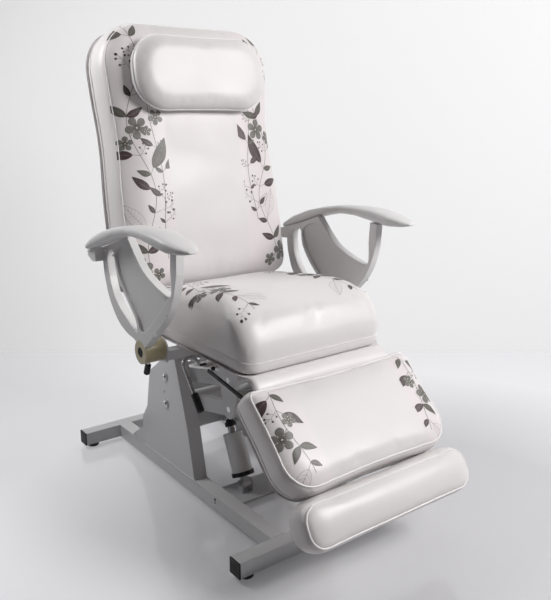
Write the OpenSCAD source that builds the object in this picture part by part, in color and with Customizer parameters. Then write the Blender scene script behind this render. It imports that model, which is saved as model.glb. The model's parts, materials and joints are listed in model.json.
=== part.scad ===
// Podiatry chair on a parallelogram lift with a foot-pumped ram.
// X runs across the chair, the sitter faces -Y, Z is up and the floor is at zero.
// "right" and "left" are the sitter's, so right lies on the -X side.

/* [Base] */
// Length of the base over its two cross tubes
base_len = 1122; // [1000:1:1250]
// Width of the base over the cross tubes
base_w = 740; // [660:1:800]
// Side of the square floor tubes
tube_w = 50; // [45:1:60]
// Wall of the square floor tubes
tube_wall = 3; // [2:0.5:4]
// Width over the two floor beams
beam_span = 452; // [440:1:480]
// Height of the feet
foot_h = 15; // [10:1:25]
// Diameter of the feet
foot_d = 44; // [36:1:48]
// Distance from a tube end to the middle of its foot
foot_inset = 36; // [30:1:60]
// Thickness of the end cap's plate
cap_t = 4; // [3:0.5:6]
// Length of the end cap's plug inside the tube
cap_plug = 16; // [10:1:25]
// Play of the plug in the tube
cap_play = 0.2; // [0.1:0.1:0.4]
// Diameter of the mounting holes in the floor beams
beam_hole_d = 9; // [6:0.5:12]
// Distance of the mounting holes in front of the chair's middle
beam_hole_y = 200; // [150:1:260]

/* [Column] */
// Height of the side plates above the floor beams
column_h = 443; // [420:1:450]
// Depth of the side plates along Y
column_depth = 385; // [360:1:400]
// Distance of the column's front foot in front of the chair's middle
column_front = 71; // [50:1:90]
// Thickness of the folded side plates
column_t = 4; // [3:0.5:6]
// Width of the folded front flange
flange_w = 50; // [35:1:55]
// Thickness of the sheet between the side plates
web_t = 3; // [2:0.5:5]

/* [Lift] */
// Place along Y of the lift arms' rear pivots
pivot_y = 110; // [105:1:120]
// Height of the lower arms' rear pivot
pivot_z = 290; // [280:1:300]
// Length of the lift arms between their pivots
arm_len = 320; // [310:1:330]
// Distance between the lower and the upper arms
arm_gap = 100; // [90:1:110]
// Slope of the arms at the lowest seat
arm_rest = 12; // [10:1:14]
// Distance of an arm's middle plane from the chair's middle
arm_x = 150; // [140:1:152]
// Width of an arm's box section
arm_w = 25; // [20:1:30]
// Depth of an arm's box section
arm_d = 50; // [40:1:54]
// Outer diameter of the tubes that carry the pivots
hub_tube_d = 44; // [36:1:50]
// Diameter of the pivot shafts
shaft_d = 20; // [16:1:24]
// Running play round a shaft, on the radius
shaft_play = 0.05; // [0.03:0.01:0.1]
// Play round the upper front pivot, on the radius
link_play = 0.5; // [0.4:0.1:1]
// Side play at the ends of the pivot tubes
side_play = 1; // [0.5:0.5:2]
// Diameter of the shaft's button heads
head_d = 30; // [26:1:34]
// Thickness of the shaft's button heads
head_t = 5; // [3:0.5:8]
// Thickness of the carrier plates that hold the seat
carrier_t = 6; // [4:0.5:8]
// Diameter of the rounded lower end of a carrier plate
carrier_d = 64; // [54:1:80]

/* [Pump] */
// Distance of the pump from the chair's middle, to the sitter's right
pump_x = 80; // [76:1:86]
// Distance of the pump's lower pivot in front of the chair's middle
pump_front = 165; // [160:1:175]
// Height of the pump's lower pivot
pump_z = 52; // [50:1:56]
// Diameter of the pump's cylinder
pump_d = 70; // [60:1:74]
// Length of the pump's cylinder
pump_len = 150; // [140:1:152]
// Distance from the lower pivot to the cylinder's foot
pump_start = 26; // [24:1:30]
// Diameter of the ram
ram_d = 28; // [24:1:32]
// Diameter of the black ring at the cylinder's foot
ring_d = 78; // [74:1:84]
// Height of the black ring
ring_h = 14; // [10:1:20]
// Diameter of the pins at both ends of the pump
pin_d = 14; // [12:1:16]
// Diameter of the eyes at both ends of the pump
eye_d = 30; // [28:1:34]
// Width of the eyes
eye_w = 30; // [26:1:34]
// Distance of the ram's pin in front of the lift's pivot
lug_front = 170; // [165:1:175]
// Height of the ram's pin below the lift's pivot
lug_drop = 10; // [6:1:12]
// Diameter of the clearance holes in the lugs
lug_hole_d = 32; // [32:1:36]
// Diameter of the lugs
lug_d = 58; // [56:1:64]
// Thickness of the lugs
lug_t = 6; // [5:0.5:8]
// Diameter of the washers that cover the lug holes
washer_d = 52; // [50:1:54]
// Thickness of those washers
washer_t = 3; // [2:0.5:4]
// Thickness of the plate that carries the pump
mount_t = 8; // [6:1:10]
// Length of that plate along Y
mount_len = 130; // [120:1:160]

/* [Pedal] */
// Length of the pedal arm from its shaft
pedal_len = 240; // [200:1:260]
// Diameter of the pedal arm
pedal_d = 16; // [14:1:20]
// Width of the foot plate
pedal_w = 90; // [70:1:110]
// Depth of the foot plate
pedal_depth = 60; // [50:1:80]
// Thickness of the foot plate
pedal_t = 8; // [6:1:12]
// Distance of the pedal arm from the chair's middle, to the sitter's left
pedal_x = 70; // [60:1:90]
// Rise of the pedal arm towards its foot plate
pedal_rise = 14; // [12:1:18]

/* [Seat] */
// Width of the seat cushion
seat_w = 576; // [560:1:590]
// Front edge of the seat cushion, in front of the chair's middle
seat_front = 464; // [456:1:468]
// Rear edge of the seat cushion, behind the chair's middle
seat_rear = 106; // [98:1:107]
// Height of the seat cushion's underside
seat_z = 560; // [558:1:564]
// Height of the seat cushion
seat_h = 184; // [170:1:190]
// Corner radius of the seat cushion
seat_r = 62; // [50:1:80]
// Thickness of the seat board
board_t = 14; // [10:1:15]
// Margin of the seat board inside the cushion's edge
board_margin = 40; // [36:1:60]
// Side of the seat frame's square tubes
rail_w = 30; // [28:1:31]
// Wall of the seat frame's tubes
rail_wall = 2.5; // [2:0.5:3]
// Length of the seat rails in front of the chair's middle
rail_front = 420; // [410:1:425]
// Length of the seat rails behind the chair's middle
rail_rear = 138; // [134:1:144]
// Thickness of the hinge plates
plate_t = 6; // [5:0.5:8]
// Gap between a hinge plate and the ear beside it
ear_gap = 1; // [0.5:0.5:2]
// Diameter of the hinge pins of the backrest and the leg rest
hinge_d = 16; // [12:1:18]

/* [Backrest] */
// Width of the backrest
back_w = 684; // [676:1:690]
// Height of the backrest cushion along its slope
back_h = 897; // [870:1:920]
// Lean of the upright backrest
back_lean = 9.6; // [8:0.1:11]
// Distance of the backrest's middle plane behind the chair's middle
back_y = 200; // [198:1:206]
// Height at which that plane is measured
back_z = 640; // [636:1:644]
// Gap along the slope from that height to the cushion
back_lift = 58; // [54:1:64]
// Thickness of the backrest without its crown
back_t = 149; // [140:1:153]
// Crown of the backrest's front
back_crown = 30; // [20:1:36]
// Corner radius at the top of the backrest
back_top_r = 150; // [130:1:165]
// Corner radius at the bottom of the backrest
back_low_r = 60; // [40:1:80]
// Distance of the backrest's hinge behind the chair's middle
back_hinge_y = 125; // [124:1:128]
// Height of the backrest's hinge
back_hinge_z = 640; // [636:1:644]
// Depth of the uprights behind the backrest
upright_d = 20; // [18:1:24]
// Length of the uprights
upright_len = 620; // [560:1:700]

/* [Pillow] */
// Width of the head pillow
pillow_w = 528; // [490:1:540]
// Height of the head pillow
pillow_h = 262; // [230:1:270]
// Thickness of the head pillow
pillow_t = 62; // [50:1:80]
// Distance from the backrest's top edge down to the pillow's top edge
pillow_drop = 64; // [50:1:110]
// Corner radius of the head pillow
pillow_r = 112; // [80:1:118]

/* [Armrests] */
// Distance of the armrests' pivot in front of the chair's middle
rest_front = 55; // [50:1:60]
// Height of the armrests' pivot
rest_z = 557; // [554:1:560]
// Diameter of the armrest's hub
rest_hub_d = 76; // [70:1:84]
// Length of the armrest's hub
rest_hub_len = 74; // [70:1:78]
// Gap between the backrest's side and the moulded support
rest_gap = 30; // [26:1:36]
// Least gap between the seat cushion and the armrest's post
post_gap = 12; // [8:1:20]
// Thickness of the moulded support
rest_t = 26; // [22:1:30]
// Thickness of the support's web
rest_web = 8; // [6:1:12]
// Height of the armrest's top above its pivot
rest_rise = 412; // [400:1:430]
// Length of the arm pad
pad_len = 676; // [640:1:700]
// Greatest width of the arm pad
pad_w = 95; // [85:1:105]
// Distance of the pad's middle outside the support's outer face
pad_shift = 16; // [12:1:22]
// Diameter of the armrest's axle
axle_d = 24; // [20:1:26]
// Diameter of the recess in the hub
recess_d = 34; // [32:1:40]
// Depth of the recess in the hub
recess_h = 10; // [8:1:14]
// Diameter of the locking plunger
plunger_d = 10; // [8:1:12]
// Travel of the locking plunger
plunger_travel = 6; // [5:1:7]
// Visible length of the plunger's rod
plunger_neck = 16; // [12:1:22]
// Slope of the plunger from straight down, to the rear
plunger_slope = 22; // [18:1:26]
// Diameter of the plunger's grip
grip_d = 20; // [18:1:22]
// Length of the plunger's grip
grip_len = 44; // [40:1:50]

/* [Leg rest] */
// Width of the leg rest
leg_w = 648; // [630:1:655]
// Length of the leg rest's face
leg_len = 326; // [318:1:328]
// Slope of the leg rest below level
leg_slope = 45; // [43:0.5:46]
// Distance of its hinge in front of the chair's middle
leg_hinge_front = 445; // [443:1:448]
// Height of the leg rest's hinge
leg_hinge_z = 538; // [536:1:540]
// Distance from the hinge to the cushion along the slope
leg_start = 30; // [28:1:34]
// Height of the cushion's face above the hinge, square to the slope
leg_face = 45; // [42:1:47]
// Thickness of the leg rest's cushion without its crown
leg_t = 88; // [84:1:92]
// Crown of the leg rest
leg_crown = 16; // [10:1:18]
// Thickness of the leg rest's board
leg_board_t = 12; // [10:1:14]
// Corner radius at the top of the leg rest
leg_top_r = 45; // [30:1:50]
// Corner radius at the foot of the leg rest
leg_low_r = 97; // [80:1:110]
// Length of the ears that hold the leg rest
leg_ear_len = 150; // [140:1:170]
// Depth of those ears behind the board
leg_ear_d = 18; // [14:1:22]

/* [Foot rest] */
// Width of the foot rest
foot_w = 646; // [630:1:655]
// Length of the foot rest's face
foot_len = 138; // [130:1:140]
// Thickness of the foot rest
foot_t = 116; // [110:1:120]
// Slope of the foot rest below level
foot_slope = 61; // [58:1:62]
// Middle of the foot rest in front of the chair's middle
foot_front = 745; // [744:1:749]
// Height of the foot rest's middle
foot_z = 228; // [224:1:229]
// Side of the foot rest's square rails
slide_w = 20; // [18:1:22]
// Distance of a rail from the chair's middle
slide_x = 150; // [130:1:170]
// Distance from the leg rest's hinge to the upper ends of the rails
slide_start = 95; // [85:1:100]
// Length of the rails
slide_len = 325; // [310:1:332]
// Distance from the leg rest's hinge to the upper sleeves
sleeve_start = 150; // [130:1:160]
// Distance between the starts of the two sleeves on a rail
sleeve_pitch = 88; // [80:1:90]
// Corner radius of the foot rest
foot_r = 56; // [40:1:62]
// Play between a rail and its sleeve
slide_play = 0.3; // [0.2:0.1:0.4]
// Wall of the sleeves
sleeve_wall = 4; // [3:0.5:5]
// Length of a sleeve
sleeve_len = 60; // [50:1:80]

/* [Release lever] */
// Distance of the release lever from the chair's middle
lever_x = 243; // [242:1:250]
// Place of the lever's shaft in front of the chair's middle
lever_front = 38; // [34:1:44]
// Height of the lever's shaft
lever_z = 497; // [494:1:499]
// Diameter of the lever's rod
lever_d = 12; // [10:1:13]
// Length of the lever's bare rod
lever_len = 122; // [110:1:134]
// Radius of the bend in the lever's rod
lever_bend = 22; // [16:1:28]
// Slope of the lever from straight down, to the front
lever_slope = 39; // [36:1:44]
// Diameter of the lever's grip
lever_grip_d = 25; // [22:1:27]
// Length of the lever's grip
lever_grip_len = 66; // [60:1:74]

/* [Hidden] */
$fn = 48;
// Overrun of every cut
over = 1;
// Least gap between a soft solid and its neighbour
soft_gap = 0.3;
base_z = foot_h + tube_w;
cross_y = (base_len - tube_w) / 2;
beam_len = base_len - 2 * tube_w;
beam_x = (beam_span - tube_w) / 2;
plate_x = beam_span / 2;
white = [0.93, 0.92, 0.92];
cream = [0.80, 0.75, 0.60];
black = [0.08, 0.08, 0.08];
steel = [0.72, 0.73, 0.74];
vinyl = [0.92, 0.90, 0.90];
grey = [0.80, 0.80, 0.81];
timber = [0.72, 0.58, 0.42];

// Column outline, as shares of column_depth and column_h from its front foot
front_edge_shares = [[0, 0], [0.10, 0.40], [0.22, 0.73], [0.29, 0.92], [0.40, 0.99]];
rear_edge_shares = [[0.78, 0.71], [0.86, 0.38], [0.965, 0.25], [0.985, 0.03], [0.985, 0]];
top_edge_shares = [[0.52, 1], [0.535, 0.86]];

// Edges of the armrest support, as shares of rest_rise from the pivot
support_outer_shares = [
    [0.578, 0.517], [0.510, 0.335], [0.371, 0.177], [0.218, 0.107], [0.080, 0.080],
    [0, 0.010], [-0.085, 0.061], [-0.158, 0.117], [-0.279, 0.226], [-0.393, 0.323], [-0.473, 0.413],
    [-0.522, 0.493], [-0.558, 0.573], [-0.595, 0.699]
];
support_inner_shares = [
    [-0.515, 0.720], [-0.510, 0.541], [-0.364, 0.553], [-0.211, 0.602], [-0.080, 0.667], [0.024, 0.760]
];
// Places along Y where the support meets the pad
front_seat_shares = [-0.607, -0.527];
rear_seat_shares = [0.133, 0.240, 0.352, 0.480, 0.569, 0.600];
slot_shares = [
    [0.492, 0.700], [0.492, 0.544], [0.439, 0.410], [0.347, 0.306], [0.194, 0.214], [0.049, 0.141],
    [0.049, 0.238], [0.146, 0.340], [0.255, 0.444], [0.357, 0.590], [0.388, 0.728]
];
pocket_shares = [
    [0.345, 0.740], [0.160, 0.810], [0.040, 0.732], [-0.066, 0.643], [-0.201, 0.578], [-0.359, 0.529],
    [-0.460, 0.520], [-0.400, 0.444], [-0.330, 0.376], [-0.225, 0.286], [-0.120, 0.199], [-0.030, 0.170],
    [0.020, 0.262], [0.122, 0.362], [0.228, 0.460], [0.328, 0.600]
];
shoe_shares = [[0.745, 0.690], [0.590, 0.730], [0.590, 0.619], [0.660, 0.612], [0.740, 0.650]];

// Arm pad stations: along from the rear, top and underside above the pivot, and width
pad_shares = [
    [0, 0.723, 0.706, 0.30], [0.025, 0.755, 0.701, 0.55], [0.107, 0.828, 0.735, 0.65],
    [0.240, 0.905, 0.799, 0.72], [0.373, 0.954, 0.871, 0.78], [0.506, 0.988, 0.917, 0.84],
    [0.639, 1, 0.920, 0.93], [0.772, 1, 0.893, 1], [0.876, 0.973, 0.871, 0.95],
    [0.957, 0.942, 0.881, 0.70], [1, 0.915, 0.898, 0.30]
];
// Distance of the pad's rear end behind the pivot, as a share of its length
pad_rear_share = 0.454;
// Points round one section of an arm pad
pad_points = 16;
// Squareness of a pad's section
pad_power = 0.7;

// Cushion rings: height, inset of the sides and extra inset of the front
seat_ring_shares = [
    [0, 0.11, 0.13], [0.08, 0.05, 0.11], [0.25, 0.012, 0.05], [0.45, 0, 0], [0.68, 0.012, 0.11],
    [0.83, 0.045, 0.22], [0.91, 0.14, 0.37], [0.97, 0.30, 0.49], [1, 0.50, 0.57]
];
back_ring_shares = [
    [0, 0.12], [0.10, 0.04], [0.30, 0], [0.55, 0], [0.78, 0.035], [0.90, 0.16], [0.97, 0.42], [1, 0.85]
];
pillow_ring_shares = [
    [0, 0.22], [0.12, 0.07], [0.36, 0], [0.60, 0.02], [0.82, 0.16], [0.95, 0.36], [1, 0.55]
];
leg_ring_shares = [[0, 0.12], [0.14, 0.03], [0.40, 0], [0.72, 0.02], [0.88, 0.10], [1, 0.40]];
foot_ring_shares = [[0, 0.30], [0.12, 0.10], [0.30, 0.02], [0.55, 0], [0.80, 0.03], [0.93, 0.14], [1, 0.35]];
// Points in each corner of a cushion ring
corner_points = 6;
// Steps from one point of a curved outline to the next
bend_steps = 4;
// Greatest corner radius, as a share of a ring's length
edge_share = 0.45;

// Distance of the foot rest's front edge in front of the design axis
foot_reach = foot_front + max([
    for (s = foot_ring_shares)
        (foot_len / 2 - s[1] * foot_t) * cos(foot_slope) + (s[0] - 0.5) * foot_t * sin(foot_slope)
]);
// Shift from the design axis to the frame's origin, the middle of the whole length
middle_y = (foot_reach - base_len / 2) / 2;

// Places and frames
module chair() {
    translate([0, middle_y, 0]) children();
}

module on_side(side) {
    mirror([side < 0 ? 1 : 0, 0, 0]) children();
}

module both_sides() {
    children();
    mirror([1, 0, 0]) children();
}

// An outline in the Y-Z plane, thickened along X from x to x + t
module slab(x, t) {
    translate([x, 0, 0]) rotate([90, 0, 90]) linear_extrude(t) children();
}

// A round bar along X
module rod_x(x, len, d) {
    translate([x, 0, 0]) rotate([0, 90, 0]) cylinder(d = d, h = len);
}

// A round bar along X, centred on the chair's middle
module rod_mid(len, d) {
    rod_x(-len / 2, len, d);
}

// A hollow box, open at both ends, centred in X and Z and running along Y
module box_tube(len, w, h, wall) {
    difference() {
        translate([-w / 2, 0, -h / 2]) cube([w, len, h]);
        translate([wall - w / 2, -over, wall - h / 2]) cube([w - 2 * wall, len + 2 * over, h - 2 * wall]);
    }
}

module on_pivot(y, z) {
    translate([0, y, z]) children();
}

// The plane of the backrest: X across, Y up the slope, Z out of its front
module on_back() {
    on_pivot(back_y, back_z) rotate([90 - back_lean, 0, 0]) children();
}

// The plane of the leg rest from its hinge: X across, Y down the slope, Z out of its face
module on_leg() {
    on_pivot(-leg_hinge_front, leg_hinge_z) rotate([leg_slope, 0, 0]) mirror([0, 1, 0]) children();
}

module on_foot() {
    on_pivot(-foot_front, foot_z) rotate([foot_slope, 0, 0]) mirror([0, 1, 0]) children();
}

function spread(shares, w, h) = [for (p = shares) [p[0] * w, p[1] * h]];
function shifted(points, dx) = [for (p = points) [p[0] + dx, p[1]]];
function reversed(list) = [for (i = [len(list) - 1:-1:0]) list[i]];

// A curve through points, in bend_steps steps from each to the next
function bend(a, b, c, d, t) =
    (2 * b + (c - a) * t + (2 * a - 5 * b + 4 * c - d) * pow(t, 2) + (3 * b - a - 3 * c + d) * pow(t, 3)) / 2;
function curved(points) = let (last = len(points) - 1) [
    for (i = [0:last - 1]) for (k = [0:bend_steps - 1])
        bend(points[max(i - 1, 0)], points[i], points[i + 1], points[min(i + 2, last)], k / bend_steps),
    points[last]
];
function curved_loop(points) = let (n = len(points)) [
    for (i = [0:n - 1]) for (k = [0:bend_steps - 1])
        bend(points[(i + n - 1) % n], points[i], points[(i + 1) % n], points[(i + 2) % n], k / bend_steps)
];

// A ring of a cushion: half width, low and high edge, corner radii, height
function corner(cx, cy, r, start, z) = [
    for (i = [0:corner_points - 1]) let (a = start + 90 * i / (corner_points - 1))
        [cx + r * cos(a), cy + r * sin(a), z]
];
function ring(hw, lo, hi, r_lo, r_hi, z) = concat(
    corner(hw - r_hi, hi - r_hi, r_hi, 0, z), corner(r_hi - hw, hi - r_hi, r_hi, 90, z),
    corner(r_lo - hw, lo + r_lo, r_lo, 180, z), corner(hw - r_lo, lo + r_lo, r_lo, 270, z)
);

// A closed skin through rings of equal length
module skin(rings) {
    n = len(rings[0]);
    m = len(rings);
    sides = [
        for (k = [0:m - 2]) for (i = [0:n - 1]) let (a = k * n + i, b = k * n + (i + 1) % n)
            each [[a, a + n, b + n], [a, b + n, b]]
    ];
    low = [for (i = [1:n - 2]) [0, i, i + 1]];
    high = [for (i = [1:n - 2]) [(m - 1) * n, (m - 1) * n + i + 1, (m - 1) * n + i]];
    polyhedron([for (r = rings) for (p = r) p], concat(sides, low, high));
}

// A cushion whose rings draw in by shares of its height
module pillow_form(w, len, h, shares, r_lo, r_hi) {
    skin([
        for (s = shares) let (inset = s[1] * h, front = len(s) > 2 ? s[2] * h : 0)
            ring(w / 2 - inset, inset + front, len - inset,
                min(max(r_lo - inset / 2, r_lo / 2), (len - 2 * inset) * edge_share),
                min(max(r_hi - inset / 2, r_hi / 2), (len - 2 * inset) * edge_share), s[0] * h)
    ]);
}

// Base
module cross_tube() {
    translate([-base_w / 2, 0, foot_h + tube_w / 2]) rotate([0, 0, -90]) box_tube(base_w, tube_w, tube_w, tube_wall);
}

module base_cross_front() {
    color(white) chair() translate([0, -cross_y, 0]) cross_tube();
}

module base_cross_rear() {
    color(white) chair() translate([0, cross_y, 0]) cross_tube();
}

module base_beam(side) {
    color(white) chair() on_side(side) difference() {
        translate([beam_x, -beam_len / 2, foot_h + tube_w / 2]) box_tube(beam_len, tube_w, tube_w, tube_wall);
        on_pivot(-beam_hole_y, foot_h + tube_w / 2) rod_x(beam_x, tube_w, beam_hole_d);
    }
}

module base_beam_right() {
    base_beam(-1);
}

module base_beam_left() {
    base_beam(1);
}

module tube_cap() {
    plug_w = tube_w - 2 * tube_wall - 2 * cap_play;
    cube_mid([cap_t, tube_w, tube_w], [cap_t / 2, 0, 0]);
    cube_mid([cap_plug, plug_w, plug_w], [-cap_plug / 2, 0, 0]);
}

// A box of a given size about a given middle
module cube_mid(size, middle) {
    translate(middle) cube(size, center = true);
}

module tube_caps() {
    color(black) chair() both_sides() for (y = [-cross_y, cross_y])
        translate([base_w / 2, y, foot_h + tube_w / 2]) tube_cap();
}

module feet() {
    rim = foot_h / 5;
    color(black) chair() both_sides() for (y = [-cross_y, cross_y])
        translate([base_w / 2 - foot_inset, y, 0]) rotate_extrude() polygon([
            [0, 0], [foot_d / 2 - rim, 0], [foot_d / 2, rim], [foot_d / 2, foot_h - rim],
            [foot_d / 2 - rim, foot_h], [0, foot_h]
        ]);
}

// Column
function column_points(shares) = [
    for (p = spread(shares, column_depth, column_h)) [p[0] - column_front, p[1] + base_z]
];
front_edge = column_points(front_edge_shares);
rear_edge = column_points(rear_edge_shares);
top_edge = column_points(top_edge_shares);

module column_plate(side) {
    color(white) chair() on_side(side) difference() {
        union() {
            slab(plate_x - column_t, column_t) polygon(concat(front_edge, top_edge, rear_edge));
            slab(plate_x - flange_w, flange_w) polygon(concat(front_edge, reversed(shifted(front_edge, column_t))));
        }
        shaft_places() rod_mid(beam_span + 2 * over, shaft_d);
    }
}

module shaft_places() {
    on_pivot(pivot_y, pivot_z) children();
    on_pivot(pivot_y, pivot_z + arm_gap) children();
}

module column_plate_right() {
    column_plate(-1);
}

module column_plate_left() {
    column_plate(1);
}

module column_web() {
    inner = beam_span - 2 * column_t;
    color(white) chair() slab(-inner / 2, inner)
        polygon(concat(rear_edge, reversed(shifted(rear_edge, -web_t))));
}

// A pin in a fork of two plates that stand on the mount plate
module mount_fork(x) {
    fork = eye_w / 2 + ear_gap / 2;
    for (side = [-1, 1]) translate([x, 0, 0]) on_side(side) slab(fork, lug_t) union() {
        translate([-pump_front, pump_z]) circle(d = eye_d);
        translate([-pump_front - eye_d / 2, foot_h + mount_t]) square([eye_d, pump_z - foot_h - mount_t]);
    }
    on_pivot(-pump_front, pump_z) translate([x, 0, 0]) rod_mid(2 * fork + 2 * lug_t + head_t, pin_d);
}

// Plate between the floor beams with the forks of the pump and the pedal
module pump_mount() {
    inner = beam_span - 2 * tube_w;
    color(grey) chair() {
        cube_mid([inner, mount_len, mount_t], [0, -pump_front, foot_h + mount_t / 2]);
        mount_fork(-pump_x);
        mount_fork(pedal_x);
    }
}

// Lift
module lift_shaft(z) {
    color(steel) chair() on_pivot(pivot_y, z) {
        rod_mid(beam_span, shaft_d);
        both_sides() rod_x(plate_x, head_t, head_d);
    }
}

module lower_shaft() {
    lift_shaft(pivot_z);
}

module upper_shaft() {
    lift_shaft(pivot_z + arm_gap);
}

// Places of the arms' front pivots
carrier_y = pivot_y - arm_len * cos(arm_rest);
carrier_z = pivot_z + arm_len * sin(arm_rest);

// The frame of a pair of arms: rear pivot at its origin, Y along the arm to the front
module on_arm(z) {
    on_pivot(pivot_y, z) rotate([-arm_rest, 0, 0]) mirror([0, 1, 0]) children();
}

arm_bar_start = hub_tube_d / 2 - tube_wall / 2;
arm_bar_len = arm_len - 2 * arm_bar_start;

module arm_bars(z) {
    color(white) chair() on_arm(z) both_sides() difference() {
        cube_mid([arm_w, arm_bar_len, arm_d], [arm_x, arm_len / 2, 0]);
        rod_ends() rod_mid(beam_span, hub_tube_d);
    }
}

module rod_ends() {
    children();
    translate([0, arm_len, 0]) children();
}

module pivot_tube(len, play) {
    difference() {
        rod_mid(len, hub_tube_d);
        rod_mid(len + 2 * over, shaft_d + 2 * play);
    }
}

rear_tube_len = beam_span - 2 * column_t - 2 * side_play;
front_tube_len = 2 * arm_x + arm_w;
carrier_x = front_tube_len / 2 + side_play;

module lower_arms() {
    arm_bars(pivot_z);
}

module upper_arms() {
    arm_bars(pivot_z + arm_gap);
}

module lower_tubes() {
    color(white) chair() on_arm(pivot_z) {
        pivot_tube(rear_tube_len, shaft_play);
        translate([0, arm_len, 0]) pivot_tube(front_tube_len, shaft_play);
    }
}

module upper_tubes() {
    color(white) chair() on_arm(pivot_z + arm_gap) {
        pivot_tube(rear_tube_len, shaft_play);
        translate([0, arm_len, 0]) pivot_tube(front_tube_len, link_play);
        translate([0, arm_len / 5, 0]) rod_mid(2 * arm_x - arm_w, shaft_d);
    }
}

// Middle of the ram's pin and of the tube that carries its lugs
ram_y = pivot_y - lug_front;
ram_z = pivot_z - lug_drop;
lug_fork = eye_w / 2 + ear_gap / 2;
lug_tube_y = ram_y - lug_d / 4;
lug_tube_z = pivot_z + (pivot_y - lug_tube_y) * tan(arm_rest);

module pump_lugs() {
    color(grey) chair() {
        on_pivot(lug_tube_y, lug_tube_z) rod_mid(2 * arm_x - arm_w, ram_d);
        for (x = [-pump_x - lug_fork - lug_t, -pump_x + lug_fork]) difference() {
            slab(x, lug_t) union() {
                translate([ram_y, ram_z]) circle(d = lug_d);
                polygon([
                    [ram_y - lug_d / 2, ram_z], [ram_y + lug_d / 2, ram_z],
                    [lug_tube_y + ram_d, lug_tube_z], [lug_tube_y - ram_d, lug_tube_z]
                ]);
            }
            on_pivot(ram_y, ram_z) rod_x(x - over, lug_t + 2 * over, lug_hole_d);
            on_pivot(lug_tube_y, lug_tube_z) rod_x(x - over, lug_t + 2 * over, ram_d);
        }
    }
}

// Carrier of the seat
rail_z = seat_z - board_t - rail_w;

module carrier_plates() {
    color(white) chair() both_sides() difference() {
        slab(carrier_x, carrier_t) union() {
            translate([carrier_y, carrier_z]) circle(d = carrier_d);
            polygon([
                [carrier_y - carrier_d / 2, carrier_z], [carrier_y + carrier_d / 2, carrier_z],
                [carrier_y + carrier_d, rail_z + rail_w], [carrier_y - carrier_d, rail_z + rail_w]
            ]);
        }
        carrier_places() rod_mid(beam_span, shaft_d);
    }
}

module carrier_places() {
    on_pivot(carrier_y, carrier_z) children();
    on_pivot(carrier_y, carrier_z + arm_gap) children();
}

module carrier_pins() {
    color(steel) chair() carrier_places() rod_mid(2 * (carrier_x + carrier_t), shaft_d);
}

// Seat frame
rail_x = carrier_x + carrier_t + rail_w / 2;
rail_len = rail_front + rail_rear;

module seat_rails() {
    color(white) chair() both_sides()
        translate([rail_x, -rail_front, rail_z + rail_w / 2]) box_tube(rail_len, rail_w, rail_w, rail_wall);
}

module seat_crosses() {
    inner = 2 * rail_x - rail_w;
    color(white) chair() for (y = [-rail_front + rail_w / 2, carrier_y - carrier_d - rail_w / 2, seat_rear - rail_w])
        translate([-inner / 2, y, rail_z + rail_w / 2]) rotate([0, 0, -90]) box_tube(inner, rail_w, rail_w, rail_wall);
}

// Front edge of the seat board, in front of the chair's middle
board_front = seat_front - board_margin;

module seat_board() {
    w = seat_w - 2 * board_margin;
    len = board_front + seat_rear - board_margin;
    color(timber) chair() translate([0, -board_front, seat_z - board_t])
        linear_extrude(board_t) polygon([
            for (p = ring(w / 2, 0, len, board_margin, board_margin, 0)) [p[0], p[1]]
        ]);
}

module seat_cushion() {
    color(vinyl) chair() translate([0, -seat_front, seat_z])
        pillow_form(seat_w, seat_front + seat_rear, seat_h, seat_ring_shares, seat_r, seat_r);
}

// Outer face of the hub and the support, clear of the backrest and the seat
rest_out = max(back_w / 2 + rest_gap + rest_t, seat_w / 2 + post_gap + plate_t + ear_gap + rest_hub_len);
pad_x = rest_out + pad_shift;

// Arm that carries an armrest's axle beside the seat
hub_in = rest_out - rest_hub_len;
axle_end = rest_out - recess_h;
post_x = hub_in - ear_gap - plate_t;

module outrigger(side) {
    reach = post_x - rail_x - rail_w / 2;
    color(white) chair() on_side(side) {
        translate([post_x - reach, -rest_front, rail_z + rail_w / 2]) rotate([0, 0, -90])
            box_tube(reach, rail_w, rail_w, rail_wall);
        slab(post_x, plate_t) union() {
            translate([-rest_front, rest_z]) circle(d = rest_hub_d - plate_t);
            translate([-rest_front - rail_w, rail_z]) square([2 * rail_w, rest_z - rail_z]);
        }
        on_pivot(-rest_front, rest_z) {
            rod_x(post_x + plate_t, axle_end - post_x - plate_t, axle_d);
            rod_x(axle_end + side_play, recess_h / 2, recess_d - recess_h / 2);
            rod_x(axle_end, side_play, axle_d - side_play);
        }
    }
}

module outrigger_right() {
    outrigger(-1);
}

module outrigger_left() {
    outrigger(1);
}

// Hinge plates of the backrest and the leg rest, with their pins
hinge_x = rail_x + rail_w / 2;
ear_x = hinge_x + plate_t + ear_gap;

module hinge_pin() {
    rod_x(hinge_x + plate_t, ear_gap + plate_t + side_play, hinge_d);
    rod_x(ear_x + plate_t + side_play, plate_t / 2, hinge_d + plate_t);
}

module back_hinge_plates() {
    color(white) chair() both_sides() {
        slab(hinge_x, plate_t) union() {
            translate([back_hinge_y, back_hinge_z]) circle(d = 2 * hinge_d);
            polygon([
                [rail_rear - 2 * rail_w, rail_z], [rail_rear, rail_z],
                [back_hinge_y + hinge_d, back_hinge_z], [back_hinge_y - hinge_d, back_hinge_z],
                [back_hinge_y - hinge_d, seat_z], [rail_rear - 2 * rail_w, seat_z - board_t]
            ]);
        }
        on_pivot(back_hinge_y, back_hinge_z) hinge_pin();
    }
}

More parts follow.
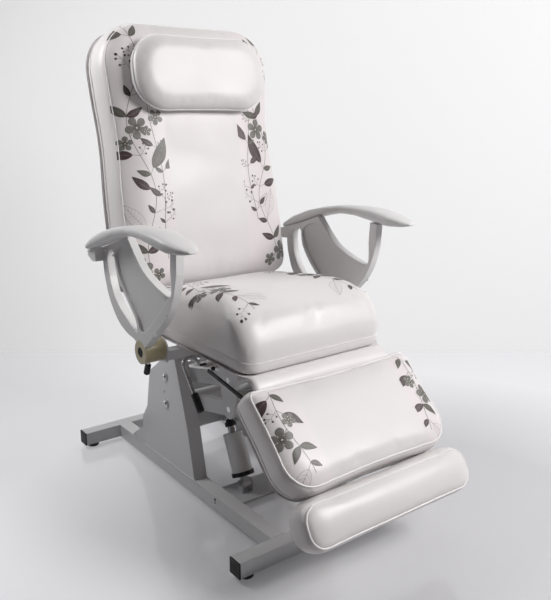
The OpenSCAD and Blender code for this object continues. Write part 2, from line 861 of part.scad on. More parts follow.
module leg_hinge_plates() {
    nose = hinge_d * 0.85;
    color(white) chair() both_sides() {
        slab(hinge_x, plate_t) union() {
            translate([-leg_hinge_front, leg_hinge_z]) circle(r = nose);
            polygon([
                [-leg_hinge_front, leg_hinge_z - nose], [-rail_front + 2 * rail_w, rail_z],
                [-rail_front + 2 * rail_w, rail_z + rail_w],
                [-max(rail_front, board_front + side_play), rail_z + rail_w],
                [-leg_hinge_front, leg_hinge_z + nose]
            ]);
        }
        on_pivot(-leg_hinge_front, leg_hinge_z) hinge_pin();
    }
}

module release_bracket() {
    low = lever_z - lever_d - ear_gap;
    front = -lever_front - rail_w;
    rear = rail_w - lever_front;
    step = rail_w / 2 - rest_front;
    color(white) chair() mirror([1, 0, 0]) difference() {
        for (x = [rail_x - rail_w / 2 - plate_t, hinge_x]) slab(x, plate_t) polygon([
            [front, low], [rear, low], [rear, rail_z + rail_w], [step, rail_z + rail_w],
            [step, rail_z], [front, rail_z]
        ]);
        on_pivot(-lever_front, lever_z) rod_mid(2 * lever_x, lever_d + 2 * shaft_play);
    }
}

// Pump
pump_reach = norm([ram_y + pump_front, ram_z - pump_z]);
pump_lean = atan2(ram_y + pump_front, ram_z - pump_z);

// The pump's line: lower pivot at the origin, Z up the ram
module on_pump() {
    translate([-pump_x, -pump_front, pump_z]) rotate([-pump_lean, 0, 0]) children();
}

module pump_cylinder() {
    color(white) chair() on_pump() difference() {
        union() {
            translate([0, 0, pump_start]) cylinder(d = pump_d, h = pump_len);
            cylinder(d = ram_d, h = pump_start + over);
            rod_mid(eye_w, eye_d);
        }
        translate([0, 0, pump_start + mount_t]) cylinder(d = ram_d + 2 * shaft_play, h = pump_len);
        rod_mid(eye_w + 2 * over, pin_d + 2 * shaft_play);
    }
}

module pump_ring() {
    color(black) chair() on_pump() translate([0, 0, pump_start]) difference() {
        cylinder(d = ring_d, h = ring_h);
        translate([0, 0, -over]) cylinder(d = pump_d, h = ring_h + 2 * over);
    }
}

// End of the ram's rod and of the collar on it, clear of the lugs
ram_end = pump_reach - lug_d / 2 - mount_t;

module pump_ram() {
    ram_start = pump_start + 2 * mount_t;
    color(steel) chair() on_pump() translate([0, 0, ram_start]) cylinder(d = ram_d, h = ram_end - over - ram_start);
}

module pump_head() {
    color(black) chair() on_pump() difference() {
        union() {
            translate([0, 0, ram_end - eye_d / 2]) cylinder(d = ram_d + 2 * lug_t, h = eye_d / 2);
            translate([0, 0, pump_reach]) rod_mid(eye_w, eye_d);
            translate([0, 0, ram_end - over]) cylinder(d = ram_d, h = pump_reach - ram_end + over);
        }
        translate([0, 0, ram_end - eye_d]) cylinder(d = ram_d, h = eye_d - over);
        translate([0, 0, pump_reach]) rod_mid(eye_w + 2 * over, pin_d);
    }
}

module pump_pin() {
    cover = lug_fork + lug_t + soft_gap;
    color(steel) chair() translate([-pump_x, ram_y, ram_z]) {
        rod_mid(2 * cover, pin_d);
        both_sides() rod_x(cover, washer_t, washer_d);
    }
}

// Pedal
module on_pedal() {
    translate([pedal_x, -pump_front, pump_z]) rotate([-pedal_rise, 0, 0]) mirror([0, 1, 0]) children();
}

module pedal_lever() {
    color(white) chair() on_pedal() difference() {
        union() {
            rod_mid(eye_w, eye_d);
            rotate([-90, 0, 0]) cylinder(d = pedal_d, h = pedal_len);
            cube_mid([pedal_w, pedal_depth, pedal_t], [0, pedal_len, (pedal_d + pedal_t) / 2 - over]);
        }
        rod_mid(eye_w + 2 * over, pin_d + 2 * shaft_play);
    }
}

module pedal_pad() {
    color(black) chair() on_pedal()
        cube_mid([pedal_w, pedal_depth, pedal_t / 2], [0, pedal_len, pedal_d / 2 + pedal_t * 1.25 - over]);
}

// Release lever: X along its shaft, Z up its rod
module on_lever() {
    on_pivot(-lever_front, lever_z) rotate([-lever_slope, 0, 0]) children();
}

module release_lever() {
    inner = rail_x - rail_w / 2 - plate_t - side_play;
    corner_x = lever_x - lever_bend;
    color(steel) chair() on_lever() {
        rod_x(-corner_x, corner_x - inner, lever_d);
        translate([-corner_x, 0, -lever_bend]) rotate([90, 0, 0]) rotate([0, 0, 90])
            rotate_extrude(angle = 90) translate([lever_bend, 0]) circle(d = lever_d);
        translate([-lever_x, 0, -lever_len]) cylinder(d = lever_d, h = lever_len - lever_bend);
    }
}

module release_grip() {
    round_r = lever_grip_d / 6;
    r = lever_grip_d / 2;
    color(black) chair() on_lever() translate([-lever_x, 0, -lever_len - lever_grip_len])
        rotate_extrude() polygon([
            [0, 0], [r - round_r, 0], [r, round_r], [r, lever_grip_len - round_r],
            [r - round_r, lever_grip_len], [0, lever_grip_len]
        ]);
}

// Backrest
upright_x = ear_x - rail_w / 2;
upright_z = -back_t / 2 - upright_d / 2;
hinge_v = (back_hinge_z - back_z) * cos(back_lean) - (back_y - back_hinge_y) * sin(back_lean);
hinge_w = (back_hinge_z - back_z) * sin(back_lean) + (back_y - back_hinge_y) * cos(back_lean);

module back_uprights() {
    foot_v = -upright_d / 2;
    color(white) chair() on_back() both_sides() {
        translate([upright_x, foot_v, upright_z]) box_tube(upright_len, rail_w, upright_d, rail_wall);
        difference() {
            slab(ear_x, plate_t) union() {
                translate([hinge_v, hinge_w]) circle(d = 2 * hinge_d);
                polygon([
                    [hinge_v - hinge_d, hinge_w], [foot_v, -back_t / 2 - upright_d],
                    [back_lift, -back_t / 2 - upright_d], [back_lift - hinge_d, -back_t / 2],
                    [hinge_v + hinge_d, hinge_w]
                ]);
            }
            translate([0, hinge_v, hinge_w]) rod_x(ear_x - over, plate_t + 2 * over, hinge_d + 2 * shaft_play);
        }
    }
}

module back_crosses() {
    inner = 2 * upright_x - rail_w;
    color(white) chair() on_back() for (v = [2 * back_lift, upright_len - back_lift])
        translate([-inner / 2, v, upright_z]) rotate([0, 0, -90]) box_tube(inner, rail_w, upright_d, rail_wall);
}

module back_board() {
    w = back_w - 2 * board_margin;
    color(timber) chair() on_back() translate([0, back_lift + board_margin, -back_t / 2])
        linear_extrude(board_t) polygon([
            for (p = ring(w / 2, 0, back_h - 2 * board_margin, board_margin, back_top_r - board_margin, 0))
                [p[0], p[1]]
        ]);
}

module back_cushion() {
    color(vinyl) chair() on_back() translate([0, back_lift, board_t - back_t / 2])
        pillow_form(back_w, back_h, back_t - board_t + back_crown, back_ring_shares, back_low_r, back_top_r);
}

module head_pillow() {
    color(vinyl) chair() on_back()
        translate([0, back_lift + back_h - pillow_drop - pillow_h, back_t / 2 + back_crown + soft_gap])
            pillow_form(pillow_w, pillow_h, pillow_t, pillow_ring_shares, pillow_r, pillow_r);
}

// Armrests
module on_rest(side) {
    chair() on_side(side) on_pivot(-rest_front, rest_z) children();
}

pad_rear = pad_rear_share * pad_len;
under_table = [for (s = pad_shares) [s[0], s[2]]];

// Underside of the arm pad above the pivot, at y behind the pivot
function under(y) = rest_rise * lookup((pad_rear - y) / pad_len, under_table);
function seats(shares) = [for (s = shares) [s * rest_rise, under(s * rest_rise)]];

support_outline = concat(
    curved(spread(support_outer_shares, rest_rise, rest_rise)), seats(front_seat_shares),
    curved(spread(support_inner_shares, rest_rise, rest_rise)), seats(rear_seat_shares)
);

pocket_outline = curved_loop(spread(pocket_shares, rest_rise, rest_rise));

module rest_support(side) {
    hollow = (rest_t - rest_web) / 2;
    color(white) on_rest(side) difference() {
        union() {
            slab(rest_out - rest_t, rest_t) polygon(support_outline);
            slab(rest_out - rest_t, 2 * rest_t) polygon(spread(shoe_shares, rest_rise, rest_rise));
        }
        slab(rest_out - rest_t - over, rest_t + 2 * over) polygon(curved_loop(spread(slot_shares, rest_rise, rest_rise)));
        slab(rest_out - hollow, hollow + over) polygon(pocket_outline);
        slab(rest_out - rest_t - over, hollow + over) polygon(pocket_outline);
        rod_x(hub_in - over, rest_hub_len + 2 * over, rest_hub_d);
    }
}

module rest_support_right() {
    rest_support(-1);
}

module rest_support_left() {
    rest_support(1);
}

module rest_hub(side) {
    color(cream) on_rest(side) difference() {
        rod_x(hub_in, rest_hub_len, rest_hub_d);
        rod_x(hub_in - over, rest_hub_len, axle_d + 2 * shaft_play);
        rod_x(axle_end, recess_h + over, recess_d);
        on_plunger() translate([0, 0, -rest_hub_d]) cylinder(d = plunger_d + 2 * shaft_play, h = rest_hub_d);
    }
}

module rest_hub_right() {
    rest_hub(-1);
}

module rest_hub_left() {
    rest_hub(1);
}

function round_power(v) = sign(v) * pow(abs(v), pad_power);

module rest_pad(side) {
    color(white) on_rest(side) translate([pad_x, pad_rear, 0]) rotate([90, 0, 0]) skin([
        for (s = pad_shares) let (middle = (s[1] + s[2]) / 2 * rest_rise, half = (s[1] - s[2]) / 2 * rest_rise)
            [for (i = [0:pad_points - 1]) let (a = 360 * i / pad_points)
                [s[3] * pad_w / 2 * round_power(cos(a)), middle + half * round_power(sin(a)), s[0] * pad_len]]
    ]);
}

module rest_pad_right() {
    rest_pad(-1);
}

module rest_pad_left() {
    rest_pad(1);
}

// The plunger's line: Z up into the hub
module on_plunger() {
    translate([rest_out - rest_t - plunger_d, 0, 0]) rotate([plunger_slope, 0, 0]) children();
}

module plunger(side) {
    tip = (axle_d + plunger_d) / 2;
    len = rest_hub_d / 2 + plunger_neck - tip;
    color(steel) on_rest(side) on_plunger() translate([0, 0, -tip - len]) cylinder(d = plunger_d, h = len);
}

module plunger_right() {
    plunger(-1);
}

module plunger_left() {
    plunger(1);
}

module plunger_grip(side) {
    r = grip_d / 2;
    color(black) on_rest(side) on_plunger()
        translate([0, 0, -rest_hub_d / 2 - plunger_neck - grip_len]) rotate_extrude() polygon([
            [0, 0], [r / 2, 0], [r, r / 2], [r, grip_len - r / 2], [r / 2, grip_len], [0, grip_len]
        ]);
}

module plunger_grip_right() {
    plunger_grip(-1);
}

module plunger_grip_left() {
    plunger_grip(1);
}

// Leg rest
leg_back = leg_face - leg_t;
leg_rear = leg_back - leg_board_t;
sleeve_w = slide_w + 2 * slide_play + 2 * sleeve_wall;
slide_z = leg_rear - sleeve_w / 2;

module leg_cushion() {
    color(vinyl) chair() on_leg() translate([0, leg_start, leg_back])
        pillow_form(leg_w, leg_len, leg_t + leg_crown, leg_ring_shares, leg_top_r, leg_low_r);
}

module leg_board() {
    w = leg_w - 2 * board_margin;
    color(timber) chair() on_leg() translate([0, leg_start + board_margin, leg_rear])
        linear_extrude(leg_board_t) polygon([
            for (p = ring(w / 2, 0, leg_len - 2 * board_margin, board_margin, board_margin, 0)) [p[0], p[1]]
        ]);
}

module leg_ears() {
    foot_z0 = leg_rear - leg_ear_d;
    color(white) chair() on_leg() both_sides() difference() {
        slab(ear_x, plate_t) union() {
            circle(r = hinge_d);
            polygon([
                [-hinge_d, 0], [leg_start + plate_t, foot_z0], [leg_ear_len, foot_z0],
                [leg_ear_len, leg_rear], [leg_start + plate_t, leg_rear], [hinge_d, 0]
            ]);
        }
        rod_x(ear_x - over, plate_t + 2 * over, hinge_d + 2 * shaft_play);
    }
}

module leg_sleeves() {
    color(white) chair() on_leg() both_sides() for (y = [sleeve_start, sleeve_start + sleeve_pitch])
        translate([slide_x, y, slide_z]) box_tube(sleeve_len, sleeve_w, sleeve_w, sleeve_wall);
}

// Foot rest
module foot_rails() {
    color(steel) chair() on_leg() both_sides() slide_bar(0);
}

module slide_bar(play) {
    translate([slide_x, slide_start + slide_len / 2, slide_z])
        cube([slide_w + 2 * play, slide_len + 2 * play, slide_w + 2 * play], center = true);
}

module foot_cross() {
    inner = 2 * slide_x - slide_w;
    y = sleeve_start + sleeve_pitch + sleeve_len + slide_w;
    color(white) chair() on_leg() translate([-inner / 2, y, slide_z]) rotate([0, 0, -90])
        box_tube(inner, slide_w, slide_w, rail_wall);
}

module foot_cushion() {
    color(vinyl) chair() difference() {
        on_foot() translate([0, -foot_len / 2, -foot_t / 2])
            pillow_form(foot_w, foot_len, foot_t, foot_ring_shares, foot_r, foot_r);
        on_leg() both_sides() slide_bar(soft_gap);
    }
}

base_cross_front();
base_cross_rear();
base_beam_right();
base_beam_left();
tube_caps();
feet();
column_plate_right();
column_plate_left();
column_web();
pump_mount();
lower_shaft();
upper_shaft();
lower_arms();
lower_tubes();
pump_lugs();
upper_arms();
upper_tubes();
carrier_plates();
carrier_pins();
seat_rails();
seat_crosses();
seat_board();
seat_cushion();
outrigger_right();
outrigger_left();
back_hinge_plates();
leg_hinge_plates();
release_bracket();
pump_cylinder();
pump_ring();
pump_ram();
pump_head();
pump_pin();
pedal_lever();
pedal_pad();
release_lever();
release_grip();
back_uprights();
back_crosses();
back_board();
back_cushion();
head_pillow();
rest_hub_right();
rest_hub_left();
rest_support_right();
rest_support_left();
rest_pad_right();
rest_pad_left();
plunger_right();
plunger_left();
plunger_grip_right();
plunger_grip_left();
leg_board();
leg_cushion();
leg_ears();
leg_sleeves();
foot_rails();
foot_cross();
foot_cushion();
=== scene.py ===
"""Looks of the podiatry chair: upholstery, print, paint, metal, plastic, studio and camera."""

import json
import math
import random

import bpy
from mathutils import Matrix, Vector
from mathutils.bvhtree import BVHTree
from mathutils.kdtree import KDTree


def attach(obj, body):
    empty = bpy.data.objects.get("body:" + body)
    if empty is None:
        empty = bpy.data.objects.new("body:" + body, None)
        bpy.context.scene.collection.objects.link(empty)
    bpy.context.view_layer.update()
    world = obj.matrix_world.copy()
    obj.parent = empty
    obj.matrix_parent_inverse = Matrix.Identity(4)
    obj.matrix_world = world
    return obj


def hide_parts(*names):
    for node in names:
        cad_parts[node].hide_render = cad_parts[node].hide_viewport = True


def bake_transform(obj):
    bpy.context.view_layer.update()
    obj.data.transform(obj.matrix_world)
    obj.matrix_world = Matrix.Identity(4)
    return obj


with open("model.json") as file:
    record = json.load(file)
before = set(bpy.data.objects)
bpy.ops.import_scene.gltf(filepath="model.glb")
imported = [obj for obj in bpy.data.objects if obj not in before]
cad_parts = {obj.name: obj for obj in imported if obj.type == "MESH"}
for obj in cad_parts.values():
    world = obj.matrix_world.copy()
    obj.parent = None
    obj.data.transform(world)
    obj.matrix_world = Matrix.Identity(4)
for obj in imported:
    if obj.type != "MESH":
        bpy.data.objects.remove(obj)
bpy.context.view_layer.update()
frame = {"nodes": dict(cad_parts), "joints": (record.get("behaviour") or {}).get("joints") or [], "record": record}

# Places, in metres, worked out from the joints of the frame
JOINTS = {joint["name"]: joint for joint in frame["joints"]}


def joint_at(name):
    return Vector(JOINTS[name]["pos_m"])


# Distance from the leg rest's hinge to the chair's design axis
HINGE_FRONT = 0.445
MIDDLE_Y = joint_at("leg_rest_angle").y + HINGE_FRONT
BACK_LEAN = math.radians(9.6)
BACK_Y = 0.200
LEG_SLOPE = math.radians(45)
FOOT_SLOPE = math.radians(61)


# Outer faces of the column plates and of the armrests' supports, and the front of the hubs' discs
COLUMN_X = 0.226
SUPPORT_X = 0.398
HUB_X = 0.3941
BEAM_TOP = 0.065

# Seams of the cushions, as shares of their heights
SEAT_SEAM = 0.22
BACK_SEAM = 0.84
PILLOW_SEAM = 0.50
LEG_SEAM = 0.91
FOOT_SEAM = 0.90
FOOT_REAR_SEAM = 0.25
REAR_SEAM = 0.20

# Inner borders of the printed bands, from the middle of each cushion, by the sitter's side
BACK_BAND = 0.1475
SEAT_BAND = 0.112
LEG_BAND_RIGHT = 0.178
LEG_BAND_LEFT = 0.205

# Faces that turn away from the drawing more than this carry no print
LEAST_FACING = 0.18


# Camera, as solved from the photograph
def make_camera():
    data = bpy.data.cameras.new("view")
    data.sensor_width = 36
    data.lens = 36 * 730.76 / 600
    data.clip_end = 60
    camera = bpy.data.objects.new("view", data)
    camera.location = (-1.3713, -2.0521 + MIDDLE_Y, 1.2828)
    camera.rotation_euler = (math.radians(75.70), 0, math.radians(-36.99))
    bpy.context.collection.objects.link(camera)
    bpy.context.scene.camera = camera


# Node materials
class Nodes:
    """Short names for building one material's node tree."""

    def __init__(self, name, color, rough, metal=0.0, spec=0.5, coat=0.0, coat_rough=0.1, sheen=0.0):
        self.material = bpy.data.materials.new(name)
        self.material.use_nodes = True
        self.tree = self.material.node_tree
        self.shader = self.tree.nodes["Principled BSDF"]
        self.set("Base Color", (*color, 1))
        self.set("Roughness", rough)
        self.set("Metallic", metal)
        self.set("Specular IOR Level", spec)
        self.set("Coat Weight", coat)
        self.set("Coat Roughness", coat_rough)
        self.set("Sheen Weight", sheen)
        self.material.diffuse_color = (*color, 1)
        self.bump = None

    def set(self, socket, value):
        self.shader.inputs[socket].default_value = value

    def add(self, kind, **values):
        node = self.tree.nodes.new(kind)
        for key, value in values.items():
            if key in node.inputs:
                node.inputs[key].default_value = value
            else:
                setattr(node, key, value)
        return node

    def link(self, source, target):
        self.tree.links.new(source, target)

    def place(self):
        if not hasattr(self, "_place"):
            self._place = self.add("ShaderNodeTexCoord").outputs["Object"]
        return self._place

    def noise(self, scale, detail=3.0, rough=0.5, stretch=None):
        node = self.add("ShaderNodeTexNoise", Scale=scale, Detail=detail, Roughness=rough)
        place = self.place()
        if stretch:
            mapping = self.add("ShaderNodeMapping", Scale=stretch)
            self.link(place, mapping.inputs["Vector"])
            place = mapping.outputs["Vector"]
        self.link(place, node.inputs["Vector"])
        return node.outputs["Fac"]

    def cells(self, scale):
        node = self.add("ShaderNodeTexVoronoi", Scale=scale)
        self.link(self.place(), node.inputs["Vector"])
        return node.outputs["Distance"]

    def ramp(self, value, low, high, dark, light):
        node = self.add("ShaderNodeMapRange")
        node.inputs["From Min"].default_value = low
        node.inputs["From Max"].default_value = high
        node.inputs["To Min"].default_value = dark
        node.inputs["To Max"].default_value = light
        self.link(value, node.inputs["Value"])
        return node.outputs["Result"]

    def tint(self, value, low, high, first, second):
        ramp = self.add("ShaderNodeValToRGB")
        ramp.color_ramp.elements[0].position = low
        ramp.color_ramp.elements[0].color = (*first, 1)
        ramp.color_ramp.elements[1].position = high
        ramp.color_ramp.elements[1].color = (*second, 1)
        self.link(value, ramp.inputs["Fac"])
        self.link(ramp.outputs["Color"], self.shader.inputs["Base Color"])

    def rough(self, value, low, high, least, most):
        self.link(self.ramp(value, low, high, least, most), self.shader.inputs["Roughness"])

    def round_edges(self, radius):
        """Catches the light along edges that are sharp in the mesh."""
        self.bump = self.add("ShaderNodeBevel", samples=6, Radius=radius).outputs["Normal"]
        self.link(self.bump, self.shader.inputs["Normal"])

    def relief(self, height, strength, distance):
        node = self.add("ShaderNodeBump", Strength=strength, Distance=distance)
        self.link(height, node.inputs["Height"])
        if self.bump:
            self.link(self.bump, node.inputs["Normal"])
        self.bump = node.outputs["Normal"]
        self.link(self.bump, self.shader.inputs["Normal"])

    def side_bands(self, color):
        """Mixes in the printed cloth's ground colour where the mesh says so."""
        share = self.add("ShaderNodeAttribute", attribute_name="band").outputs["Fac"]
        mix = self.add("ShaderNodeMix", data_type="RGBA")
        self.link(share, mix.inputs[0])
        self.link(self.shader.inputs["Base Color"].links[0].from_socket, mix.inputs[6])
        mix.inputs[7].default_value = (*color, 1)
        self.link(mix.outputs[2], self.shader.inputs["Base Color"])

    def seen_only(self, strength, color, growth=None):
        """Adds light that only the camera and mirror-like rays see; it may grow away from a point."""
        path = self.add("ShaderNodeLightPath")
        either = self.add("ShaderNodeMath", operation="MAXIMUM")
        self.link(path.outputs["Is Camera Ray"], either.inputs[0])
        self.link(path.outputs["Is Glossy Ray"], either.inputs[1])
        power = self.add("ShaderNodeMath", operation="MULTIPLY")
        self.link(either.outputs["Value"], power.inputs[0])
        power.inputs[1].default_value = strength
        if growth:
            point, near, far, most = growth
            span = self.add("ShaderNodeVectorMath", operation="DISTANCE")
            self.link(self.place(), span.inputs[0])
            span.inputs[1].default_value = point
            self.link(self.ramp(span.outputs["Value"], near, far, strength, most), power.inputs[1])
        self.set("Emission Color", (*color, 1))
        self.link(power.outputs["Value"], self.shader.inputs["Emission Strength"])


def vinyl_material(name, color, worn, ground=None):
    m = Nodes(name, color, 0.40, spec=0.45, coat=0.15, coat_rough=0.32, sheen=0.06)
    m.tint(m.noise(5, 4), 0.25, 0.8, worn, color)
    if ground:
        m.side_bands(ground)
    m.rough(m.noise(9, 3), 0.2, 0.8, 0.34, 0.48)
    m.relief(m.noise(7, 2, 0.4), 0.16, 0.010)
    m.relief(m.noise(38, 3, 0.55), 0.10, 0.002)
    m.relief(m.cells(900), 0.12, 0.0004)
    m.relief(m.noise(260, 4, 0.6), 0.12, 0.0006)
    return m.material


def paint_material(name, color, worn, rough=0.34):
    m = Nodes(name, color, rough, spec=0.5, coat=0.25, coat_rough=0.2)
    m.tint(m.noise(3.5, 5), 0.2, 0.85, worn, color)
    m.rough(m.noise(14, 3), 0.2, 0.8, rough - 0.05, rough + 0.09)
    m.round_edges(0.0022)
    m.relief(m.noise(420, 3), 0.07, 0.0005)
    return m.material


def moulded_material(name, color, worn, rough=0.38):
    m = Nodes(name, color, rough, spec=0.45, coat=0.1, coat_rough=0.3)
    m.tint(m.noise(6, 4), 0.2, 0.85, worn, color)
    m.rough(m.noise(20, 3), 0.2, 0.8, rough - 0.06, rough + 0.08)
    m.round_edges(0.003)
    m.relief(m.cells(700), 0.08, 0.0004)
    return m.material


def rubber_material(name, color):
    m = Nodes(name, color, 0.55, spec=0.4)
    m.tint(m.noise(60, 4), 0.3, 0.8, tuple(c * 0.6 for c in color), tuple(min(1, c * 1.7) for c in color))
    m.rough(m.noise(40, 3), 0.2, 0.8, 0.42, 0.68)
    m.round_edges(0.0015)
    m.relief(m.noise(500, 3), 0.15, 0.0005)
    return m.material


def steel_material(name, color, rough, stretch=(1, 1, 40)):
    m = Nodes(name, color, rough, metal=1.0)
    m.tint(m.noise(30, 3, 0.5, stretch), 0.2, 0.9, tuple(c * 0.8 for c in color), color)
    m.rough(m.noise(60, 3, 0.5, stretch), 0.2, 0.8, rough - 0.06, rough + 0.1)
    m.round_edges(0.001)
    m.relief(m.noise(300, 2, 0.5, stretch), 0.08, 0.0003)
    return m.material


def board_material(name):
    m = Nodes(name, (0.45, 0.30, 0.17), 0.6, spec=0.3)
    grain = m.noise(9, 6, 0.6, (12, 1, 1))
    m.tint(grain, 0.3, 0.75, (0.33, 0.21, 0.11), (0.55, 0.39, 0.23))
    m.relief(grain, 0.2, 0.0006)
    return m.material


def ink_material(name, color, worn):
    m = Nodes(name, color, 0.42, spec=0.45, coat=0.1, coat_rough=0.35)
    m.tint(m.noise(45, 5, 0.65), 0.3, 0.75, worn, color)
    m.rough(m.noise(30, 3), 0.2, 0.8, 0.36, 0.5)
    m.relief(m.cells(900), 0.12, 0.0004)
    return m.material


VINYL = (0.83, 0.80, 0.80)
VINYL_WORN = (0.79, 0.755, 0.755)
SLOTS = {part["node"]: part["material_slot"] for part in frame["record"]["subparts"]}


def make_materials():
    return {
        "vinyl": vinyl_material("vinyl", VINYL, VINYL_WORN),
        "vinyl_banded": vinyl_material("vinyl_banded", VINYL, VINYL_WORN, ground=(0.84, 0.785, 0.79)),
        "piping": vinyl_material("piping", (0.92, 0.90, 0.90), (0.88, 0.85, 0.85)),
        "frame_paint": paint_material("frame_paint", (0.83, 0.83, 0.84), (0.78, 0.78, 0.79)),
        "bracket_paint": paint_material("bracket_paint", (0.66, 0.67, 0.69), (0.6, 0.61, 0.63)),
        "armrest_plastic": moulded_material("armrest_plastic", (0.80, 0.79, 0.79), (0.75, 0.74, 0.74)),
        "cream_plastic": moulded_material("cream_plastic", (0.56, 0.50, 0.33), (0.47, 0.41, 0.25), 0.3),
        "black_plastic": rubber_material("black_plastic", (0.018, 0.018, 0.02)),
        "rubber": rubber_material("rubber", (0.022, 0.022, 0.022)),
        "steel": steel_material("steel", (0.62, 0.62, 0.63), 0.26),
        "board": board_material("board"),
        "leaf_dark": ink_material("leaf_dark", (0.058, 0.034, 0.038), (0.092, 0.062, 0.064)),
        "leaf_grey": ink_material("leaf_grey", (0.095, 0.088, 0.076), (0.15, 0.14, 0.12)),
        "petal": ink_material("petal", (0.29, 0.282, 0.258), (0.16, 0.156, 0.142)),
        "vein": ink_material("vein", (0.30, 0.27, 0.26), (0.22, 0.19, 0.19)),
        "line": ink_material("line", (0.24, 0.21, 0.21), (0.33, 0.30, 0.30)),
        "heart": ink_material("heart", (0.80, 0.79, 0.72), (0.62, 0.60, 0.50)),
    }


# Small geometry helpers
def new_object(name, verts, faces, material):
    mesh = bpy.data.meshes.new(name)
    mesh.from_pydata([tuple(v) for v in verts], [], faces)
    mesh.update()
    obj = bpy.data.objects.new(name, mesh)
    bpy.context.collection.objects.link(obj)
    mesh.materials.append(material)
    shade_smooth(obj)
    return obj


def ride_on(obj, body):
    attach(obj, body)
    return obj


def dress(obj, material):
    obj.data.materials.clear()
    obj.data.materials.append(material)


def apply_all(obj):
    bpy.ops.object.select_all(action="DESELECT")
    bpy.context.view_layer.objects.active = obj
    obj.select_set(True)
    for modifier in list(obj.modifiers):
        bpy.ops.object.modifier_apply(modifier=modifier.name)


def shade_smooth(obj):
    for polygon in obj.data.polygons:
        polygon.use_smooth = True


def mesh_evenly(obj, voxel, turns):
    """Gives a form small even faces and smooths it a number of turns."""
    remesh = obj.modifiers.new("even", "REMESH")
    remesh.mode = "VOXEL"
    remesh.voxel_size = voxel
    even = obj.modifiers.new("even_out", "SMOOTH")
    even.factor = 0.5
    even.iterations = turns
    apply_all(obj)


def rounded_loop(half, low, high, r_low, r_high, count):
    """Evenly spaced points round a rectangle with round corners, as (x, y)."""
    corners = [(half - r_high, high - r_high, r_high, 0), (r_high - half, high - r_high, r_high, 90)]
    corners += [(r_low - half, low + r_low, r_low, 180), (half - r_low, low + r_low, r_low, 270)]
    dense = []
    for cx, cy, r, start in corners:
        for i in range(13):
            a = math.radians(start + 90 * i / 12)
            dense.append(Vector((cx + r * math.cos(a), cy + r * math.sin(a))))
    return even_loop(dense, count)


def even_loop(dense, count):
    """The same closed path with count evenly spaced points."""
    lengths = [0.0]
    for i, p in enumerate(dense):
        lengths.append(lengths[-1] + (dense[(i + 1) % len(dense)] - p).length)
    out = []
    k = 0
    for i in range(count):
        target = lengths[-1] * i / count
        while lengths[k + 1] < target:
            k += 1
        span = max(lengths[k + 1] - lengths[k], 1e-9)
        out.append(dense[k].lerp(dense[(k + 1) % len(dense)], (target - lengths[k]) / span))
    return out


def loft(rings):
    """Vertices and faces of a closed skin through rings of equal length."""
    n = len(rings[0])
    verts = [p for ring in rings for p in ring]
    faces = []
    for k in range(len(rings) - 1):
        for i in range(n):
            a = k * n + i
            b = k * n + (i + 1) % n
            faces.append((a, b, b + n, a + n))
    faces.append(tuple(range(n - 1, -1, -1)))
    faces.append(tuple(range((len(rings) - 1) * n, len(rings) * n)))
    return verts, faces


def catmull(p0, p1, p2, p3, t):
    out = []
    for a, b, c, d in zip(p0, p1, p2, p3):
        out.append(0.5 * (2 * b + (c - a) * t + (2 * a - 5 * b + 4 * c - d) * t ** 2
                          + (3 * b - a - 3 * c + d) * t ** 3))
    return out


def smooth_profile(points, steps):
    """A smooth curve through rows of numbers."""
    out = []
    last = len(points) - 1
    for k in range(last):
        for s in range(steps):
            out.append(catmull(points[max(k - 1, 0)], points[k], points[k + 1],
                               points[min(k + 2, last)], s / steps))
    out.append(list(points[-1]))
    return out


def bump_of(t, middle, spread):
    return math.exp(-((t - middle) / spread) ** 2)


def tube_mesh(path, radius, closed, sides=8):
    """Vertices and faces of a round tube along points; radius is a number or a function of the share."""
    n = len(path)
    verts = []
    faces = []
    previous = None
    for i, p in enumerate(path):
        ahead = path[(i + 1) % n] if closed or i < n - 1 else p
        behind = path[i - 1] if closed or i > 0 else p
        along = (ahead - behind).normalized()
        side = previous - along * previous.dot(along) if previous else along.orthogonal()
        side.normalize()
        previous = side
        other = along.cross(side)
        r = radius(i / max(n - 1, 1)) if callable(radius) else radius
        for k in range(sides):
            a = 2 * math.pi * k / sides
            verts.append(p + side * (r * math.cos(a)) + other * (r * math.sin(a)))
    for i in range(n if closed else n - 1):
        j = (i + 1) % n
        for k in range(sides):
            m = (k + 1) % sides
            faces.append((i * sides + k, i * sides + m, j * sides + m, j * sides + k))
    if not closed:
        faces.append(tuple(range(sides - 1, -1, -1)))
        faces.append(tuple(range((n - 1) * sides, n * sides)))
    return verts, faces


def place_on(origin, x_axis, y_axis, z_axis):
    m = Matrix((x_axis, y_axis, z_axis)).transposed().to_4x4()
    m.translation = origin
    return m


def back_place(v=0.0, w=0.0):
    """X across, Y up the backrest, Z out of its front; v and w are measured from the middle plane."""
    s, c = math.sin(BACK_LEAN), math.cos(BACK_LEAN)
    m = place_on(Vector((0, BACK_Y + MIDDLE_Y, 0.640)), (1, 0, 0), (0, s, c), (0, -c, s))
    return m @ Matrix.Translation((0, v, w))


def slope_place(origin, slope, v=0.0, w=0.0):
    """X to the sitter's right, Y down the slope, Z out of the face."""
    s, c = math.sin(slope), math.cos(slope)
    m = place_on(origin, (-1, 0, 0), (0, -c, -s), (0, -s, c))
    return m @ Matrix.Translation((0, v, w))


